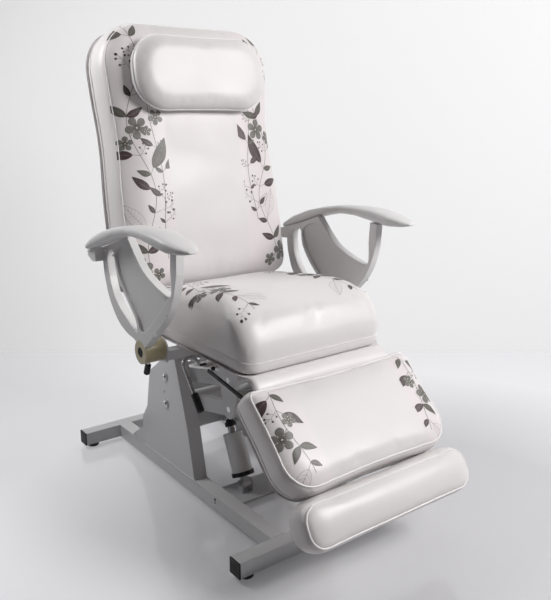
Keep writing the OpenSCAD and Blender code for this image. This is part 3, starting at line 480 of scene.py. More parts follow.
# Cushions
class Cushion:
    """One upholstered piece in its place.

    Its rings run from the underside to the crown. Each is (height, inset) or (height, inset, set back of
    the low end), as shares of the cushion's height.
    """

    def __init__(self, name, node, body, place, size, rings, radii, warp=None, rear=1.0):
        self.name = name
        self.node = node
        self.body = body
        self.place = place
        self.inverse = place.inverted()
        self.width, self.length, self.height = size
        self.rings = [(row[0], row[1], row[2] if len(row) > 2 else 0) for row in rings]
        self.r_low, self.r_high = radii
        self.warp = warp
        self.rear = rear
        self.object = None
        self.tree = None

    def ring(self, height, inset, front, count):
        half = self.width / 2 - inset
        low = inset + front
        high = self.length - inset * self.rear
        most = (high - low) * 0.46
        r_low = min(max(self.r_low - inset / 2, self.r_low / 2), most)
        r_high = min(max(self.r_high - inset / 2, self.r_high / 2), most)
        points = [Vector((p.x, p.y, height)) for p in rounded_loop(half, low, high, r_low, r_high, count)]
        if self.warp:
            points = [self.warp(p, self) for p in points]
        return [self.place @ p for p in points]

    def at(self, share, count):
        """The cushion's outline at a share of its height."""
        row = min(smooth_profile(self.rings, 16), key=lambda r: abs(r[0] - share))
        return self.ring(share * self.height, row[1] * self.height, row[2] * self.height, count)

    def hit(self, x, y, lift):
        """The point on the face above local (x, y), lifted off the surface, or nothing."""
        start = self.place @ Vector((x, y, self.height + 0.3))
        down = -(self.place.to_3x3() @ Vector((0, 0, 1)))
        point, normal = self.tree.ray_cast(start, down)[:2]
        if point is None or normal.dot(down) > -LEAST_FACING:
            return None
        return point + normal * lift


def seat_warp(p, c):
    """The seat rises towards its front third and falls to the rear, and its sides draw in a little."""
    t = p.y / c.length
    share = min(max(p.z / c.height, 0), 1)
    z = p.z + share ** 2 * (0.008 * bump_of(t, 0.38, 0.28) - 0.030 * max(t - 0.4, 0) / 0.6)
    z -= 0.010 * (1 - share) * max(1 - t / 0.25, 0) ** 2
    return Vector((p.x * (1 - 0.012 * bump_of(t, 0.5, 0.25) * share), p.y, z))


def back_warp(p, c):
    """The backrest is waisted above the armrests, and its lower part comes forward."""
    t = p.y / c.length
    waist = 0.045 * bump_of(t, 0.57, 0.17)
    return Vector((p.x * (1 - waist), p.y, p.z - 0.010 * bump_of(t, 0.60, 0.20)))


def leg_warp(p, c):
    """The leg rest's long sides draw in between its corners."""
    t = p.y / c.length
    across = p.x / (c.width / 2)
    y = p.y - 0.006 * bump_of(across, 0, 0.6) * (1 if t > 0.5 else -1)
    return Vector((p.x * (1 - 0.012 * bump_of(t, 0.45, 0.3)), y, p.z))


# Half the thickness of the back cushion's node
BACK_HALF = 0.0745

SEAT = Cushion(
    "seat_pad", "seat_cushion", "seat", Matrix.Translation((0, MIDDLE_Y - 0.464, 0.560)),
    (0.576, 0.570, 0.184),
    [(0, 0.11, 0.03), (0.08, 0.05, 0), (0.25, 0.012, -0.01), (0.45, 0, 0), (0.68, 0.012, 0.11),
     (0.83, 0.045, 0.22), (0.91, 0.14, 0.37), (0.97, 0.30, 0.49), (1, 0.50, 0.57), (1.02, 0.9, 0.7)],
    (0.062, 0.062), seat_warp, 0.28)
BACK = Cushion(
    "back_pad", "back_cushion", "backrest", back_place(0.030, 0.014 - BACK_HALF),
    (0.684, 0.925, 0.165),
    [(0, 0.12), (0.10, 0.04), (0.30, 0), (0.55, 0), (0.78, 0.035), (0.90, 0.16), (0.97, 0.42),
     (1, 0.85), (1.01, 1.2)],
    (0.060, 0.150), back_warp)
PILLOW = Cushion(
    "pillow_pad", "head_pillow", "pillow", back_place(0.632, BACK_HALF + 0.0318),
    (0.532, 0.262, 0.065),
    [(0, 0.22), (0.12, 0.07), (0.36, 0), (0.60, 0.02), (0.82, 0.16), (0.95, 0.36), (1, 0.55), (1.02, 0.9)],
    (0.112, 0.112))
LEG = Cushion(
    "leg_pad", "leg_cushion", "leg_rest",
    slope_place(joint_at("leg_rest_angle") * Vector((0, 1, 1)), LEG_SLOPE, 0.0275, -0.043),
    (0.648, 0.3375, 0.104),
    [(0, 0.12), (0.14, 0.03), (0.40, 0), (0.72, 0.02), (0.88, 0.10), (1, 0.40), (1.03, 0.8)],
    (0.026, 0.097), leg_warp)
FOOT = Cushion(
    "foot_pad", "foot_cushion", "foot_rest",
    slope_place(Vector((0, MIDDLE_Y - 0.745, 0.228)), FOOT_SLOPE, -0.0768, -0.058),
    (0.646, 0.1458, 0.116),
    [(0, 0.30), (0.12, 0.10), (0.30, 0.02), (0.55, 0), (0.80, 0.03), (0.93, 0.14), (1, 0.35), (1.03, 0.50)],
    (0.056, 0.056))


def cushion_body(c, material, voxel, cap, seams):
    """The padded form: lofted a little small, remeshed, swollen by cloth pressure, its seams sunk in."""
    shrink = 0.004
    rows = smooth_profile(c.rings, 4)
    rings = [c.ring(r[0] * c.height, r[1] * c.height + shrink, r[2] * c.height, 128) for r in rows]
    verts, faces = loft(rings)
    obj = new_object(c.name, verts, faces, material)
    mesh_evenly(obj, voxel, 6)
    swell(obj, c, cap)
    finer = obj.modifiers.new("finer", "SUBSURF")
    finer.levels = 1
    apply_all(obj)
    for share in seams:
        sink_seam(obj, c, share)
    shade_smooth(obj)
    c.object = obj
    mesh = obj.data
    c.tree = BVHTree.FromPolygons([v.co for v in mesh.vertices], [p.vertices for p in mesh.polygons])
    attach(obj, c.body)
    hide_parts(c.node)


def swell(obj, c, cap):
    """Cloth pressure with a capped move; the underside stays flat on its board."""
    start = [v.co.copy() for v in obj.data.vertices]
    cloth = obj.modifiers.new("cloth", "CLOTH")
    settings = cloth.settings
    settings.quality = 3
    settings.mass = 0.3
    settings.tension_stiffness = 12
    settings.compression_stiffness = 12
    settings.bending_stiffness = 0.6
    settings.use_pressure = True
    settings.uniform_pressure_force = 4
    settings.effector_weights.gravity = 0
    scene = bpy.context.scene
    for number in range(1, 21):
        scene.frame_set(number)
    apply_all(obj)
    for v, old in zip(obj.data.vertices, start):
        height = (c.inverse @ old).z / c.height
        hold = min(max((height - 0.02) / 0.2, 0), 1)
        move = v.co - old
        if move.length > cap:
            move *= cap / move.length
        v.co = old + move * hold
    scene.frame_set(1)


def sink_seam(obj, c, share, depth=0.0022, reach=0.010):
    """Draws the cover in along one seam."""
    path = c.at(share, 700)
    tree = KDTree(len(path))
    for i, p in enumerate(path):
        tree.insert(p, i)
    tree.balance()
    normals = [v.normal.copy() for v in obj.data.vertices]
    for v, normal in zip(obj.data.vertices, normals):
        distance = tree.find(v.co)[2]
        if distance < 3 * reach:
            v.co -= normal * depth * math.exp(-(distance / reach) ** 2)


def piping(c, share, radius, material, name, count=420):
    """A sewn cord along a seam, lying in its groove."""
    path = []
    for p in c.at(share, count):
        point, normal = c.tree.find_nearest(p)[:2]
        path.append(point + normal * radius * 0.35)
    for _ in range(3):
        path = [(path[i - 1] + path[i] * 2 + path[(i + 1) % count]) / 4 for i in range(count)]
    verts, faces = tube_mesh(path, radius, True)
    ride_on(new_object(name, verts, faces, material), c.body)


def skirt(c, low, name, material):
    """The cover drawn down over the edge of the board and turned under it."""
    board = 0.040
    out = 0.0016
    under = low - 0.0012
    rings = []
    for z, inset in ((0.004, board - 0.030), (0.001, board - 0.014), (-0.002, board - out),
                     (low, board - out), (under, board), (under, board + 0.018), (low, board + 0.019)):
        rings.append(c.ring(z, inset, 0, 160))
    n = len(rings[0])
    verts = [p for ring in rings for p in ring]
    faces = []
    for k in range(len(rings) - 1):
        for i in range(n):
            j = (i + 1) % n
            faces.append((k * n + j, k * n + i, (k + 1) * n + i, (k + 1) * n + j))
    ride_on(new_object(name, verts, faces, material), c.body)


# Printed cloth: a drawing in the plane of a cushion's face, laid on it as thin skins
class Print:
    """Collects flat pieces by colour and lays them on one cushion; marks outside the band are cut off."""

    def __init__(self, cushion, side, inner, outer_share, lift=0.0004):
        self.cushion = cushion
        self.side = side
        self.inner = inner
        self.lift = lift
        self.parts = {}
        rows = []
        for p in cushion.at(outer_share, 400):
            q = cushion.inverse @ p
            if q.x > 0:
                rows.append((q.y, q.x))
        rows.sort()
        self.steps = 600
        self.edge = []
        k = 0
        for i in range(self.steps + 1):
            y = cushion.length * i / self.steps
            while k < len(rows) - 2 and rows[k + 1][0] < y:
                k += 1
            (y0, x0), (y1, x1) = rows[k], rows[k + 1]
            inside = rows[0][0] <= y <= rows[-1][0]
            self.edge.append(x0 + (x1 - x0) * (y - y0) / max(y1 - y0, 1e-6) - 0.004 if inside else 0.0)

    def outer(self, y):
        """Half width of the face inside its seam, at a place along its length."""
        i = round(y / self.cushion.length * self.steps)
        return self.edge[i] if 0 <= i <= self.steps else 0.0

    def strip(self, color, left, right, level=0, cells=3):
        """A skin between two rows of points."""
        verts, faces = self.parts.setdefault(color, ([], []))
        start = len(verts)
        rows = []
        outside = []
        for a, b in zip(left, right):
            for k in range(cells + 1):
                p = (a[0] + (b[0] - a[0]) * k / cells, a[1] + (b[1] - a[1]) * k / cells)
                most = self.outer(p[1])
                x = min(max(p[0], self.inner), most)
                outside.append(1 if p[0] > most else (-1 if p[0] < self.inner else 0))
                rows.append(self.cushion.hit(self.side * x, p[1], self.lift + 0.00010 * level))
        index = {}
        for i, p in enumerate(rows):
            if p is not None:
                index[i] = start + len(index)
                verts.append(p)
        n = cells + 1
        for i in range(len(left) - 1):
            for k in range(cells):
                quad = (i * n + k, i * n + k + 1, (i + 1) * n + k + 1, (i + 1) * n + k)
                if any(q not in index for q in quad):
                    continue
                if abs(sum(outside[q] for q in quad)) == 4:
                    continue
                face = tuple(index[q] for q in quad)
                faces.append(face if self.side < 0 else face[::-1])

    def line(self, color, path, width, level=1, taper=False):
        """A stroke of even or tapering width along points."""
        left = []
        right = []
        last = len(path) - 1
        for i, p in enumerate(path):
            q = path[min(i + 1, last)]
            o = path[max(i - 1, 0)]
            dx, dy = q[0] - o[0], q[1] - o[1]
            size = math.hypot(dx, dy) or 1
            w = width / 2 * (1 - 0.8 * i / last if taper else 1)
            left.append((p[0] - dy / size * w, p[1] + dx / size * w))
            right.append((p[0] + dy / size * w, p[1] - dx / size * w))
        self.strip(color, left, right, level, 1)

    def leaf(self, at, angle, length, width, color, bend=0.0, open_leaf=False):
        """A leaf on its stalk, filled with a pale midrib, or drawn in outline with its veins."""
        def on(u, v):
            x = u * length
            y = v * width / 2 + bend * length * math.sin(math.pi * u)
            c, s = math.cos(angle), math.sin(angle)
            return (at[0] + c * x - s * y, at[1] + s * x + c * y)

        def half(u):
            return math.sin(math.pi * u ** 0.85) ** 0.9 * (1 - 0.25 * u)

        steps = [i / 18 for i in range(19)]
        left = [on(u, half(u)) for u in steps]
        right = [on(u, -half(u)) for u in steps]
        middle = [on(u, 0) for u in steps]
        if not open_leaf:
            self.strip(color, left, right, 2, 6)
            self.line("vein", middle[1:-2], 0.0011, 3, True)
            for u in (0.28, 0.42, 0.56, 0.70):
                for v in (1, -1):
                    rib = [on(u, 0), on(u + 0.09, v * half(u) * 0.45), on(u + 0.15, v * half(u) * 0.72)]
                    self.line("vein", rib, 0.0006, 3, True)
            return
        self.line("line", left, 0.0008)
        self.line("line", right, 0.0008)
        self.line("line", middle, 0.0008)
        for u in (0.16, 0.28, 0.40, 0.52, 0.64, 0.76):
            for v in (1, -1):
                rib = [on(u, 0), on(u + 0.07, v * half(u) * 0.5), on(u + 0.12, v * half(u + 0.1) * 0.9)]
                self.line("line", rib, 0.0006, 1, True)

    def blossom(self, at, size, turn, petals=5):
        """Five rounded petals with darker nerves, a pale heart and stamens."""
        for k in range(petals):
            a = turn + 2 * math.pi * k / petals
            c, s = math.cos(a), math.sin(a)

            def on(u, v):
                x, y = u * size, v * size
                return (at[0] + c * x - s * y, at[1] + s * x + c * y)

            us = [0.10 + 0.90 * i / 10 for i in range(11)]

            def half(u):
                return 0.30 * math.sin(math.pi * min(u, 1) ** 1.7) ** 0.6 + 0.02

            self.strip("petal", [on(u, half(u)) for u in us], [on(u, -half(u)) for u in us], 3, 4)
            self.line("leaf_grey", [on(u, half(u)) for u in us], 0.0011, 4)
            self.line("leaf_grey", [on(u, -half(u)) for u in us], 0.0011, 4)
            for v in (-0.10, 0.0, 0.10):
                self.line("leaf_dark", [on(0.14, v * 0.3), on(0.40, v), on(0.68, v * 1.3)], 0.0010, 5, True)
            b = a + math.pi / petals
            tip = (at[0] + math.cos(b) * size * 0.38, at[1] + math.sin(b) * size * 0.38)
            self.line("leaf_dark", [at, tip], 0.0007, 5)
            self.dot(tip, 0.0016, "heart", 6)
        self.dot(at, size * 0.15, "leaf_grey", 5)
        self.dot(at, size * 0.085, "heart", 6)

    def dot(self, at, r, color, level=2):
        left = []
        right = []
        for i in range(7):
            a = math.pi * i / 6
            left.append((at[0] - math.cos(a) * r, at[1] + math.sin(a) * r))
            right.append((at[0] - math.cos(a) * r, at[1] - math.sin(a) * r))
        self.strip(color, left, right, level, 2)

    def berries(self, at, angle, size):
        """A small spray with a berry at each tip."""
        c, s = math.cos(angle), math.sin(angle)

        def on(u, v):
            return (at[0] + (c * u - s * v) * size, at[1] + (s * u + c * v) * size)

        self.line("leaf_grey", [on(0, 0), on(0.4, 0.04), on(0.8, 0), on(1.0, -0.06)], 0.0008)
        self.dot(on(1.0, -0.06), size * 0.075, "leaf_dark")
        for u, v in ((0.30, 0.26), (0.45, -0.28), (0.68, 0.25), (0.80, -0.22)):
            self.line("leaf_grey", [on(u - 0.12, 0.02), on(u - 0.02, v * 0.6), on(u + 0.03, v)], 0.0007)
            self.dot(on(u + 0.03, v), size * 0.065, "leaf_dark" if v > 0 else "leaf_grey")

    def finish(self, materials):
        c = self.cushion
        side = "right" if self.side < 0 else "left"
        for color, (verts, faces) in self.parts.items():
            if not faces:
                continue
            obj = new_object("print_" + color + "_" + c.name + "_" + side, verts, faces, materials[color])
            ride_on(obj, c.body)


def vine(p, start, end, sway, wave, rng, scale, step, first=None):
    """A waving stem up a band with leaves by turns, blossoms, sprays and outlined leaves.

    first is the kind of growth that comes first. Without it, the place of the stem gives it.
    """
    count = max(int(abs(end[1] - start[1]) / 0.008), 4)
    path = []
    for i in range(count + 1):
        t = i / count
        x = start[0] + (end[0] - start[0]) * t + sway * math.sin(t * wave * 2 * math.pi + start[1] * 9)
        path.append((x, start[1] + (end[1] - start[1]) * t))
    p.line("leaf_grey", path, 0.0015, 1)
    total = abs(end[1] - start[1])
    places = int(total / (step * scale))
    kinds = ["big", "small", "bloom", "pair", "open", "berry", "small"]
    if first is None:
        first = int(start[0] * 100)
    for k in range(places):
        i = min(int((k + 0.5) / places * count), count - 1)
        at = path[i]
        up = math.atan2(path[i + 1][1] - at[1], path[i + 1][0] - at[0])
        turn = 1 if k % 2 else -1
        kind = kinds[(k + first) % len(kinds)]
        lean = up + turn * (0.75 + 0.25 * rng.random())
        reach = 0.020 * scale
        out = (at[0] + math.cos(lean) * reach, at[1] + math.sin(lean) * reach)
        p.line("leaf_grey", [at, ((at[0] + out[0]) / 2, (at[1] + out[1]) / 2 + 0.001), out], 0.0011, 1)
        color = "leaf_dark" if rng.random() < 0.72 else "leaf_grey"
        if kind == "big":
            p.leaf(out, lean, 0.094 * scale, 0.040 * scale, color, 0.05 * turn)
            p.leaf(at, up - turn * 0.9, 0.040 * scale, 0.019 * scale, "leaf_grey", -0.05 * turn)
        elif kind == "small":
            p.leaf(out, lean, 0.058 * scale, 0.027 * scale, color, 0.04 * turn)
            p.berries(at, up - turn * 1.0, 0.040 * scale)
        elif kind == "pair":
            p.leaf(at, up + 0.95, 0.050 * scale, 0.023 * scale, color, 0.05)
            p.leaf(at, up - 0.95, 0.050 * scale, 0.023 * scale, "leaf_grey", -0.05)
        elif kind == "bloom":
            c, s = math.cos(lean), math.sin(lean)
            p.blossom((out[0] + c * 0.012, out[1] + s * 0.012), 0.031 * scale, lean)
            p.blossom((at[0] - c * 0.026, at[1] - s * 0.030), 0.020 * scale, lean + 0.6)
        elif kind == "open":
            p.leaf(out, lean, 0.080 * scale, 0.040 * scale, "line", 0.04 * turn, True)
            p.leaf(at, up - turn * 0.8, 0.034 * scale, 0.017 * scale, color, -0.04 * turn)
        else:
            p.berries(out, lean, 0.052 * scale)
            p.leaf(at, up - turn * 0.9, 0.030 * scale, 0.015 * scale, "leaf_dark")


def make_prints(materials):
    """Bands of a botanical print on backrest, seat and leg rest; the side is that of local X."""
    for side in (1, -1):
        rng = random.Random(11 + side)
        p = Print(BACK, side, BACK_BAND, 0.86)
        vine(p, (0.232, 0.050), (0.254, 0.895), 0.030, 2.1 + 0.2 * side, rng, 1.22, 0.050)
        vine(p, (0.182, 0.17 + 0.05 * side), (0.192, 0.70), 0.012, 1.2, rng, 0.85, 0.090)
        p.finish(materials)
        p = Print(SEAT, side, SEAT_BAND, 0.70)
        vine(p, (0.190, 0.535), (0.206, 0.085), 0.020, 1.2 + 0.2 * side, rng, 1.12, 0.046)
        p.finish(materials)
        p = Print(LEG, side, LEG_BAND_RIGHT if side > 0 else LEG_BAND_LEFT, 0.93)
        vine(p, (0.247, 0.018), (0.240, 0.285), 0.014, 0.7, rng, 1.10, 0.042, 0)
        p.finish(materials)


# Small pieces
def lathe(name, profile, at, axis, material, body, sides=28):
    """A turned piece: (radius, height) rows, its axis along a direction from a point."""
    turn = Vector((0, 0, 1)).rotation_difference(Vector(axis)).to_matrix().to_4x4()
    place = Matrix.Translation(Vector(at)) @ turn
    verts = []
    faces = []
    for r, h in profile:
        for k in range(sides):
            a = 2 * math.pi * k / sides
            verts.append(place @ Vector((r * math.cos(a), r * math.sin(a), h)))
    for i in range(len(profile) - 1):
        for k in range(sides):
            m = (k + 1) % sides
            faces.append((i * sides + k, i * sides + m, (i + 1) * sides + m, (i + 1) * sides + k))
    faces.append(tuple(range(sides - 1, -1, -1)))
    faces.append(tuple(range((len(profile) - 1) * sides, len(profile) * sides)))
    return ride_on(new_object(name, verts, faces, material), body)


def design(x, y, z):
    """A place given from the chair's design axis, in metres."""
    return Vector((x, y + MIDDLE_Y, z))


def screw(name, at, axis, r, materials, body):
    """A button head with a socket, standing on a surface."""
    h = r * 0.55
    head = [(1, 0), (1, 0.25), (0.93, 0.6), (0.72, 0.9), (0.5, 1), (0.48, 0.98)]
    rows = [(r * a, h * b) for a, b in head]
    lathe(name, rows, at, axis, materials["steel"], body)
    socket = [(r * 0.47, h * 0.2), (r * 0.47, h * 0.955), (r * 0.40, h * 0.97)]
    lathe(name + "_socket", socket, at, axis, materials["black_plastic"], body, 6)


def tube(name, path, radius, material, body, sides):
    verts, faces = tube_mesh(path, radius, False, sides)
    return ride_on(new_object(name, verts, faces, material), body)


def bead(name, a, b, r, material, body):
    """A weld bead with its ripples between two points."""
    count = max(int((b - a).length / 0.0022), 6)
    path = [a.lerp(b, i / count) for i in range(count + 1)]
    tube(name, path, lambda t: r * (0.86 + 0.14 * math.sin(t * count * 1.7)) * (0.35 if t in (0, 1) else 1),
         material, body, 8)


def plate(name, outline, x, thick, material, body):
    """A flat plate square to X with rounded edges; outline as (y, z) from the design axis."""
    n = len(outline)
    verts = [design(x, y, z) for y, z in outline] + [design(x + thick, y, z) for y, z in outline]
    faces = [tuple(range(n - 1, -1, -1)), tuple(range(n, 2 * n))]
    faces += [(i, (i + 1) % n, (i + 1) % n + n, i + n) for i in range(n)]
    obj = new_object(name, verts, faces, material)
    bevel = obj.modifiers.new("edges", "BEVEL")
    bevel.width = 0.0012
    bevel.segments = 2
    bevel.limit_method = "ANGLE"
    apply_all(obj)
    return ride_on(obj, body)


def make_fasteners(m):
    """Screws of the column, supports and arm pads, black caps over the axle ends that paint the shade of the hubs'
    recesses, and plugs in the floor beams.
    """
    for side, word in ((-1, "right"), (1, "left")):
        out = (side, 0, 0)
        column = side * COLUMN_X
        for z, word2 in ((0.290, "lower"), (0.390, "upper")):
            at = design(column + side * 0.005, 0.110, z)
            screw("shaft_screw_" + word2 + "_" + word, at, out, 0.0085, m, "base")
        screw("column_screw_" + word, design(column, 0.126, 0.332), out, 0.006, m, "base")
        arm = "armrest_" + word
        pivot = joint_at(arm + "_swing")
        hub = Vector((side * HUB_X, pivot.y, pivot.z))
        # Painted shade: a black cap over the axle end fills each hub's recess, so the recess reads dark as its
        # shade would
        rows = [(0.0158, 0), (0.0158, 0.0034), (0.0146, 0.0036), (0.0136, 0.0014)]
        rows += [(0.006, 0.0010), (0.005, 0.0024)]
        lathe("hub_cap_" + word, rows, hub, out, m["black_plastic"], "seat")
        for y, z, k in ((-0.239, 0.717, 1), (-0.166, 0.641, 2)):
            at = design(side * SUPPORT_X, y, z)
            screw("support_screw_" + str(k) + "_" + word, at, out, 0.0050, m, arm)
        for y, z, k in ((0.160, 0.852, 1), (0.105, 0.842, 2)):
            at = design(side * SUPPORT_X, y, z)
            screw("pad_screw_" + str(k) + "_" + word, at, out, 0.0050, m, arm)
        at = design(side * COLUMN_X, -0.2008, 0.0525)
        rows = [(0.0048, 0), (0.0048, 0.0006), (0.0036, 0.0008)]
        lathe("beam_plug_" + word, rows, at, out, m["black_plastic"], "base")


def make_welds(m):
    """A bead along the outer foot of each column plate."""
    paint = m["frame_paint"]
    for side, word in ((-1, "right"), (1, "left")):
        x = side * (COLUMN_X + 0.001)
        start = design(x, -0.115, BEAM_TOP)
        end = design(x, 0.405, BEAM_TOP)
        bead("weld_foot_" + word, start, end, 0.0024, paint, "base")


def make_small_pieces(m):
    """Small pieces beside the release shaft and on the base: spring, posts, stop, bar and gussets."""
    steel = m["steel"]
    x = -0.2175
    turns = 15
    a = design(x, -0.020, 0.508)
    b = design(x, -0.128, 0.499)
    along = (b - a).normalized()
    side = along.cross(Vector((1, 0, 0))).normalized()
    path = []
    for i in range(turns * 10 + 1):
        t = i / (turns * 10)
        s = min(max((t - 0.12) / 0.76, 0), 1)
        turn = 2 * math.pi * turns * s
        r = 0.0062 * min(1, min(s, 1 - s) * 14 + 0.05)
        path.append(a.lerp(b, t) + (Vector((1, 0, 0)) * math.cos(turn) + side * math.sin(turn)) * r)
    tube("release_spring", path, 0.0011, steel, "seat", 6)
    post = [(0.004, 0), (0.004, 0.020), (0.003, 0.022)]
    for k, p in enumerate((a, b)):
        start = p + Vector((-0.008, 0, 0))
        lathe("spring_post_" + str(k), post, start, (1, 0, 0), m["black_plastic"], "seat", 14)
    nub = design(-0.2205, -0.205, 0.509)
    rows = [(0.006, 0), (0.006, 0.008), (0.0045, 0.010)]
    lathe("release_stop", rows, nub, (-1, 0, 0), m["black_plastic"], "seat")
    bar = [(-0.175, 0.4995), (-0.170, 0.4880), (-0.360, 0.4560), (-0.365, 0.4675)]
    plate("stop_bar", bar, -0.2265, 0.006, m["black_plastic"], "seat")
    gusset = [(0.298, 0.066), (0.392, 0.066), (0.392, 0.072), (0.312, 0.128), (0.298, 0.132)]
    for side, word in ((-1, "right"), (1, "left")):
        x = side * 0.2262 - (0.004 if side > 0 else 0)
        plate("rear_gusset_" + word, gusset, x, 0.004, m["frame_paint"], "base")


def soften(node, width, segments=3):
    """Rounds the edges of a carried-over node, without touching its mesh."""
    obj = frame["nodes"][node]
    weld = obj.modifiers.new("weld", "WELD")
    weld.merge_threshold = 0.00002
    flat = obj.modifiers.new("flat", "DECIMATE")
    flat.decimate_type = "DISSOLVE"
    flat.angle_limit = math.radians(0.6)
    bevel = obj.modifiers.new("round", "BEVEL")
    bevel.width = width
    bevel.segments = segments
    bevel.limit_method = "ANGLE"
    bevel.angle_limit = math.radians(40)
    bevel.use_clamp_overlap = True
    bevel.harden_normals = False


def smooth_copy(node, body, name, material, voxel, turns):
    """A finely meshed, softly rounded form in the place of a carried-over node."""
    source = frame["nodes"][node]
    mesh = source.data.copy()
    obj = bpy.data.objects.new(name, mesh)
    bpy.context.collection.objects.link(obj)
    obj.matrix_world = source.matrix_world
    obj.data.transform(obj.matrix_world)
    obj.matrix_world = Matrix.Identity(4)
    mesh_evenly(obj, voxel, turns)
    dress(obj, material)
    shade_smooth(obj)
    ride_on(obj, body)
    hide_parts(node)
    return obj


# Studio: the wall stands this far behind the chair's middle, square to the view
WALL_AWAY = 1.400


def make_stage():
    """A glossy floor with a painted glow that grows away from the chair, which leaves a painted shade around the
    chair, and a pale wall.
    """
    floor = Nodes("floor", (0.565, 0.56, 0.58), 0.20, spec=0.6, coat=0.4, coat_rough=0.08)
    floor.rough(floor.noise(1.5, 3), 0.2, 0.8, 0.17, 0.26)
    # Painted light: the floor glows for the camera and in reflections, weakly near the chair and more further off,
    # so the ground round the chair reads as painted shade
    floor.seen_only(0.10, (1.0, 1.0, 1.03), ((0.3, -0.5, 0), 0.6, 1.4, 0.37))
    size = 14
    turn = math.radians(37)
    away = Vector((math.sin(turn), math.cos(turn), 0))
    side = Vector((away.y, -away.x, 0))
    middle = away * WALL_AWAY + Vector((0, MIDDLE_Y, 0))
    left = middle - side * size
    right = middle + side * size
    corners = [left, right, right - away * size, left - away * size]
    new_object("floor", corners, [(0, 1, 2, 3)], floor.material)
    wall = Nodes("wall", (0.50, 0.50, 0.505), 0.9, spec=0.05)
    wall.tint(wall.noise(0.25, 2), 0.3, 0.8, (0.48, 0.48, 0.485), (0.52, 0.52, 0.525))
    wall.seen_only(0.52, (1.0, 1.0, 1.01))
    low, high = Vector((0, 0, -0.01)), Vector((0, 0, 6))
    corners = [left + low, right + low, right + high, left + high]
    new_object("backdrop", corners, [(0, 1, 2, 3)], wall.material)


def area_light(name, at, towards, size, power, color=(1, 1, 1)):
    data = bpy.data.lights.new(name, "AREA")
    data.shape = "RECTANGLE"
    data.size = size[0]
    data.size_y = size[1]
    data.energy = power
    data.color = color
    light = bpy.data.objects.new(name, data)
    light.location = at
    light.rotation_euler = (Vector(towards) - Vector(at)).to_track_quat("-Z", "Y").to_euler()
    bpy.context.collection.objects.link(light)


def make_lights():
    world = bpy.data.worlds.new("studio")
    bpy.context.scene.world = world
    world.use_nodes = True
    background = world.node_tree.nodes["Background"]
    background.inputs["Color"].default_value = (0.96, 0.96, 1.0, 1)
    background.inputs["Strength"].default_value = 0.035
    area_light("key", (1.5, -2.65, 2.6), (0, -0.1, 0.6), (1.3, 1.3), 106, (1.0, 0.99, 0.98))
    area_light("top", (0.6, 0.1, 3.3), (0, 0, 0.2), (2.4, 2.0), 8)
    area_light("rim", (-1.1, 0.95, 1.9), (-0.2, 0.25, 0.9), (0.5, 0.8), 14)
    bpy.context.scene.view_settings.view_transform = "Standard"


def dress_nodes(materials):
    """Every carried-over node gets the material of its slot."""
    for name, obj in frame["nodes"].items():
        dress(obj, materials[SLOTS[name]])


# Nodes whose edges are rounded, with the width in metres
ROUNDED = {
    "rest_support_right": 0.0045, "rest_support_left": 0.0045,
    "rest_hub_right": 0.0040, "rest_hub_left": 0.0040,
    "base_cross_front": 0.0030, "base_cross_rear": 0.0030,
    "base_beam_right": 0.0030, "base_beam_left": 0.0030,
}


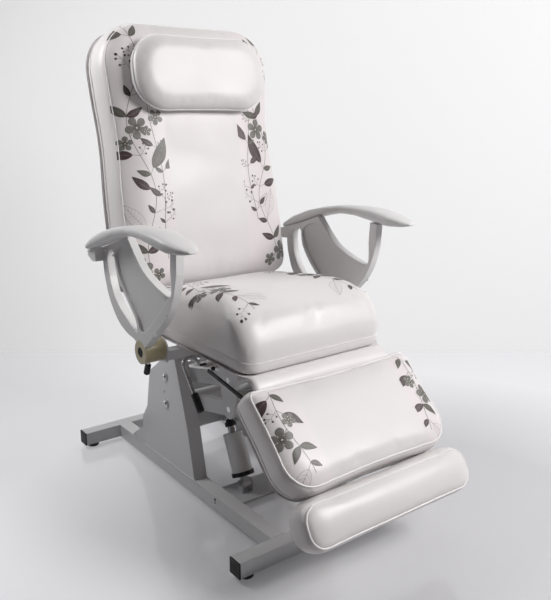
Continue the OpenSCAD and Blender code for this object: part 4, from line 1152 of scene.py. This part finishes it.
def make_cushions(m):
    vinyl, banded, cord = m["vinyl"], m["vinyl_banded"], m["piping"]
    cushion_body(SEAT, vinyl, voxel=0.011, cap=0.008, seams=(SEAT_SEAM,))
    cushion_body(BACK, banded, voxel=0.0125, cap=0.009, seams=(REAR_SEAM, BACK_SEAM))
    cushion_body(PILLOW, vinyl, voxel=0.008, cap=0.006, seams=(PILLOW_SEAM,))
    cushion_body(LEG, banded, voxel=0.009, cap=0.006, seams=(REAR_SEAM, LEG_SEAM))
    cushion_body(FOOT, vinyl, voxel=0.008, cap=0.005, seams=(FOOT_REAR_SEAM, FOOT_SEAM))
    mark_band(BACK, BACK_BAND, BACK_BAND, BACK_SEAM)
    mark_band(LEG, LEG_BAND_RIGHT, LEG_BAND_LEFT, LEG_SEAM)
    piping(BACK, BACK_SEAM, 0.0018, cord, "back_seam")
    piping(BACK, REAR_SEAM, 0.0020, cord, "back_rear_seam")
    piping(PILLOW, PILLOW_SEAM, 0.0026, cord, "pillow_piping", 300)
    piping(LEG, LEG_SEAM, 0.0026, cord, "leg_piping", 300)
    piping(LEG, REAR_SEAM, 0.0020, cord, "leg_rear_seam", 300)
    piping(FOOT, FOOT_SEAM, 0.0026, cord, "foot_piping", 300)
    piping(SEAT, SEAT_SEAM, 0.0014, cord, "seat_seam")
    flap(m)
    skirt(SEAT, -0.0145, "seat_skirt", m["vinyl"])
    skirt(BACK, -0.0145, "back_skirt", m["vinyl"])
    skirt(LEG, -0.0125, "leg_skirt", m["vinyl"])


def flap(m):
    """A strip of the cover that closes the gap between the seat and the leg rest."""
    rows = [(-0.428, 0.5525), (-0.446, 0.5600), (-0.463, 0.5585), (-0.476, 0.5485), (-0.4860, 0.5360),
            (-0.4890, 0.5260), (-0.4870, 0.5165), (-0.4815, 0.5095)]
    outer = smooth_profile(rows, 4)
    half = 0.262
    steps = 72
    rings = []
    for i in range(steps + 1):
        share = -1 + 2 * i / steps
        x = half * share
        end = math.sqrt(max(1 - max(abs(share) - 0.94, 0) ** 2 / 0.06 ** 2, 0.0))
        ring = []
        for y, z in outer:
            ring.append(design(x, y + 0.010 * (1 - end), z - 0.004 * (1 - end)))
        for y, z in reversed(outer):
            ring.append(design(x, y + 0.0022 + 0.010 * (1 - end), z - 0.0022 - 0.004 * (1 - end)))
        rings.append(ring)
    verts, faces = loft(rings)
    obj = new_object("seat_flap", verts, faces, m["vinyl"])
    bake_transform(obj)


def mark_band(c, plus, minus, share):
    """Writes where the printed cloth lies, outside a border on each side of local X."""
    p = Print(c, 1, plus, share)
    band = c.object.data.attributes.new("band", "FLOAT", "POINT")
    height = share * c.height
    for i, v in enumerate(c.object.data.vertices):
        q = c.inverse @ v.co
        limit = plus if q.x > 0 else minus
        inside = limit < abs(q.x) < p.outer(q.y) + 0.004 and q.z > height - 0.03
        band.data[i].value = 1.0 if inside else 0.0


def main():
    make_camera()
    m = make_materials()
    make_stage()
    make_lights()
    dress_nodes(m)
    make_cushions(m)
    make_prints(m)
    make_fasteners(m)
    make_welds(m)
    make_small_pieces(m)
    for side in ("right", "left"):
        smooth_copy("rest_pad_" + side, "armrest_" + side, "arm_pad_" + side, m["armrest_plastic"],
                    0.0045, 6)
    for node, width in ROUNDED.items():
        soften(node, width)


main()
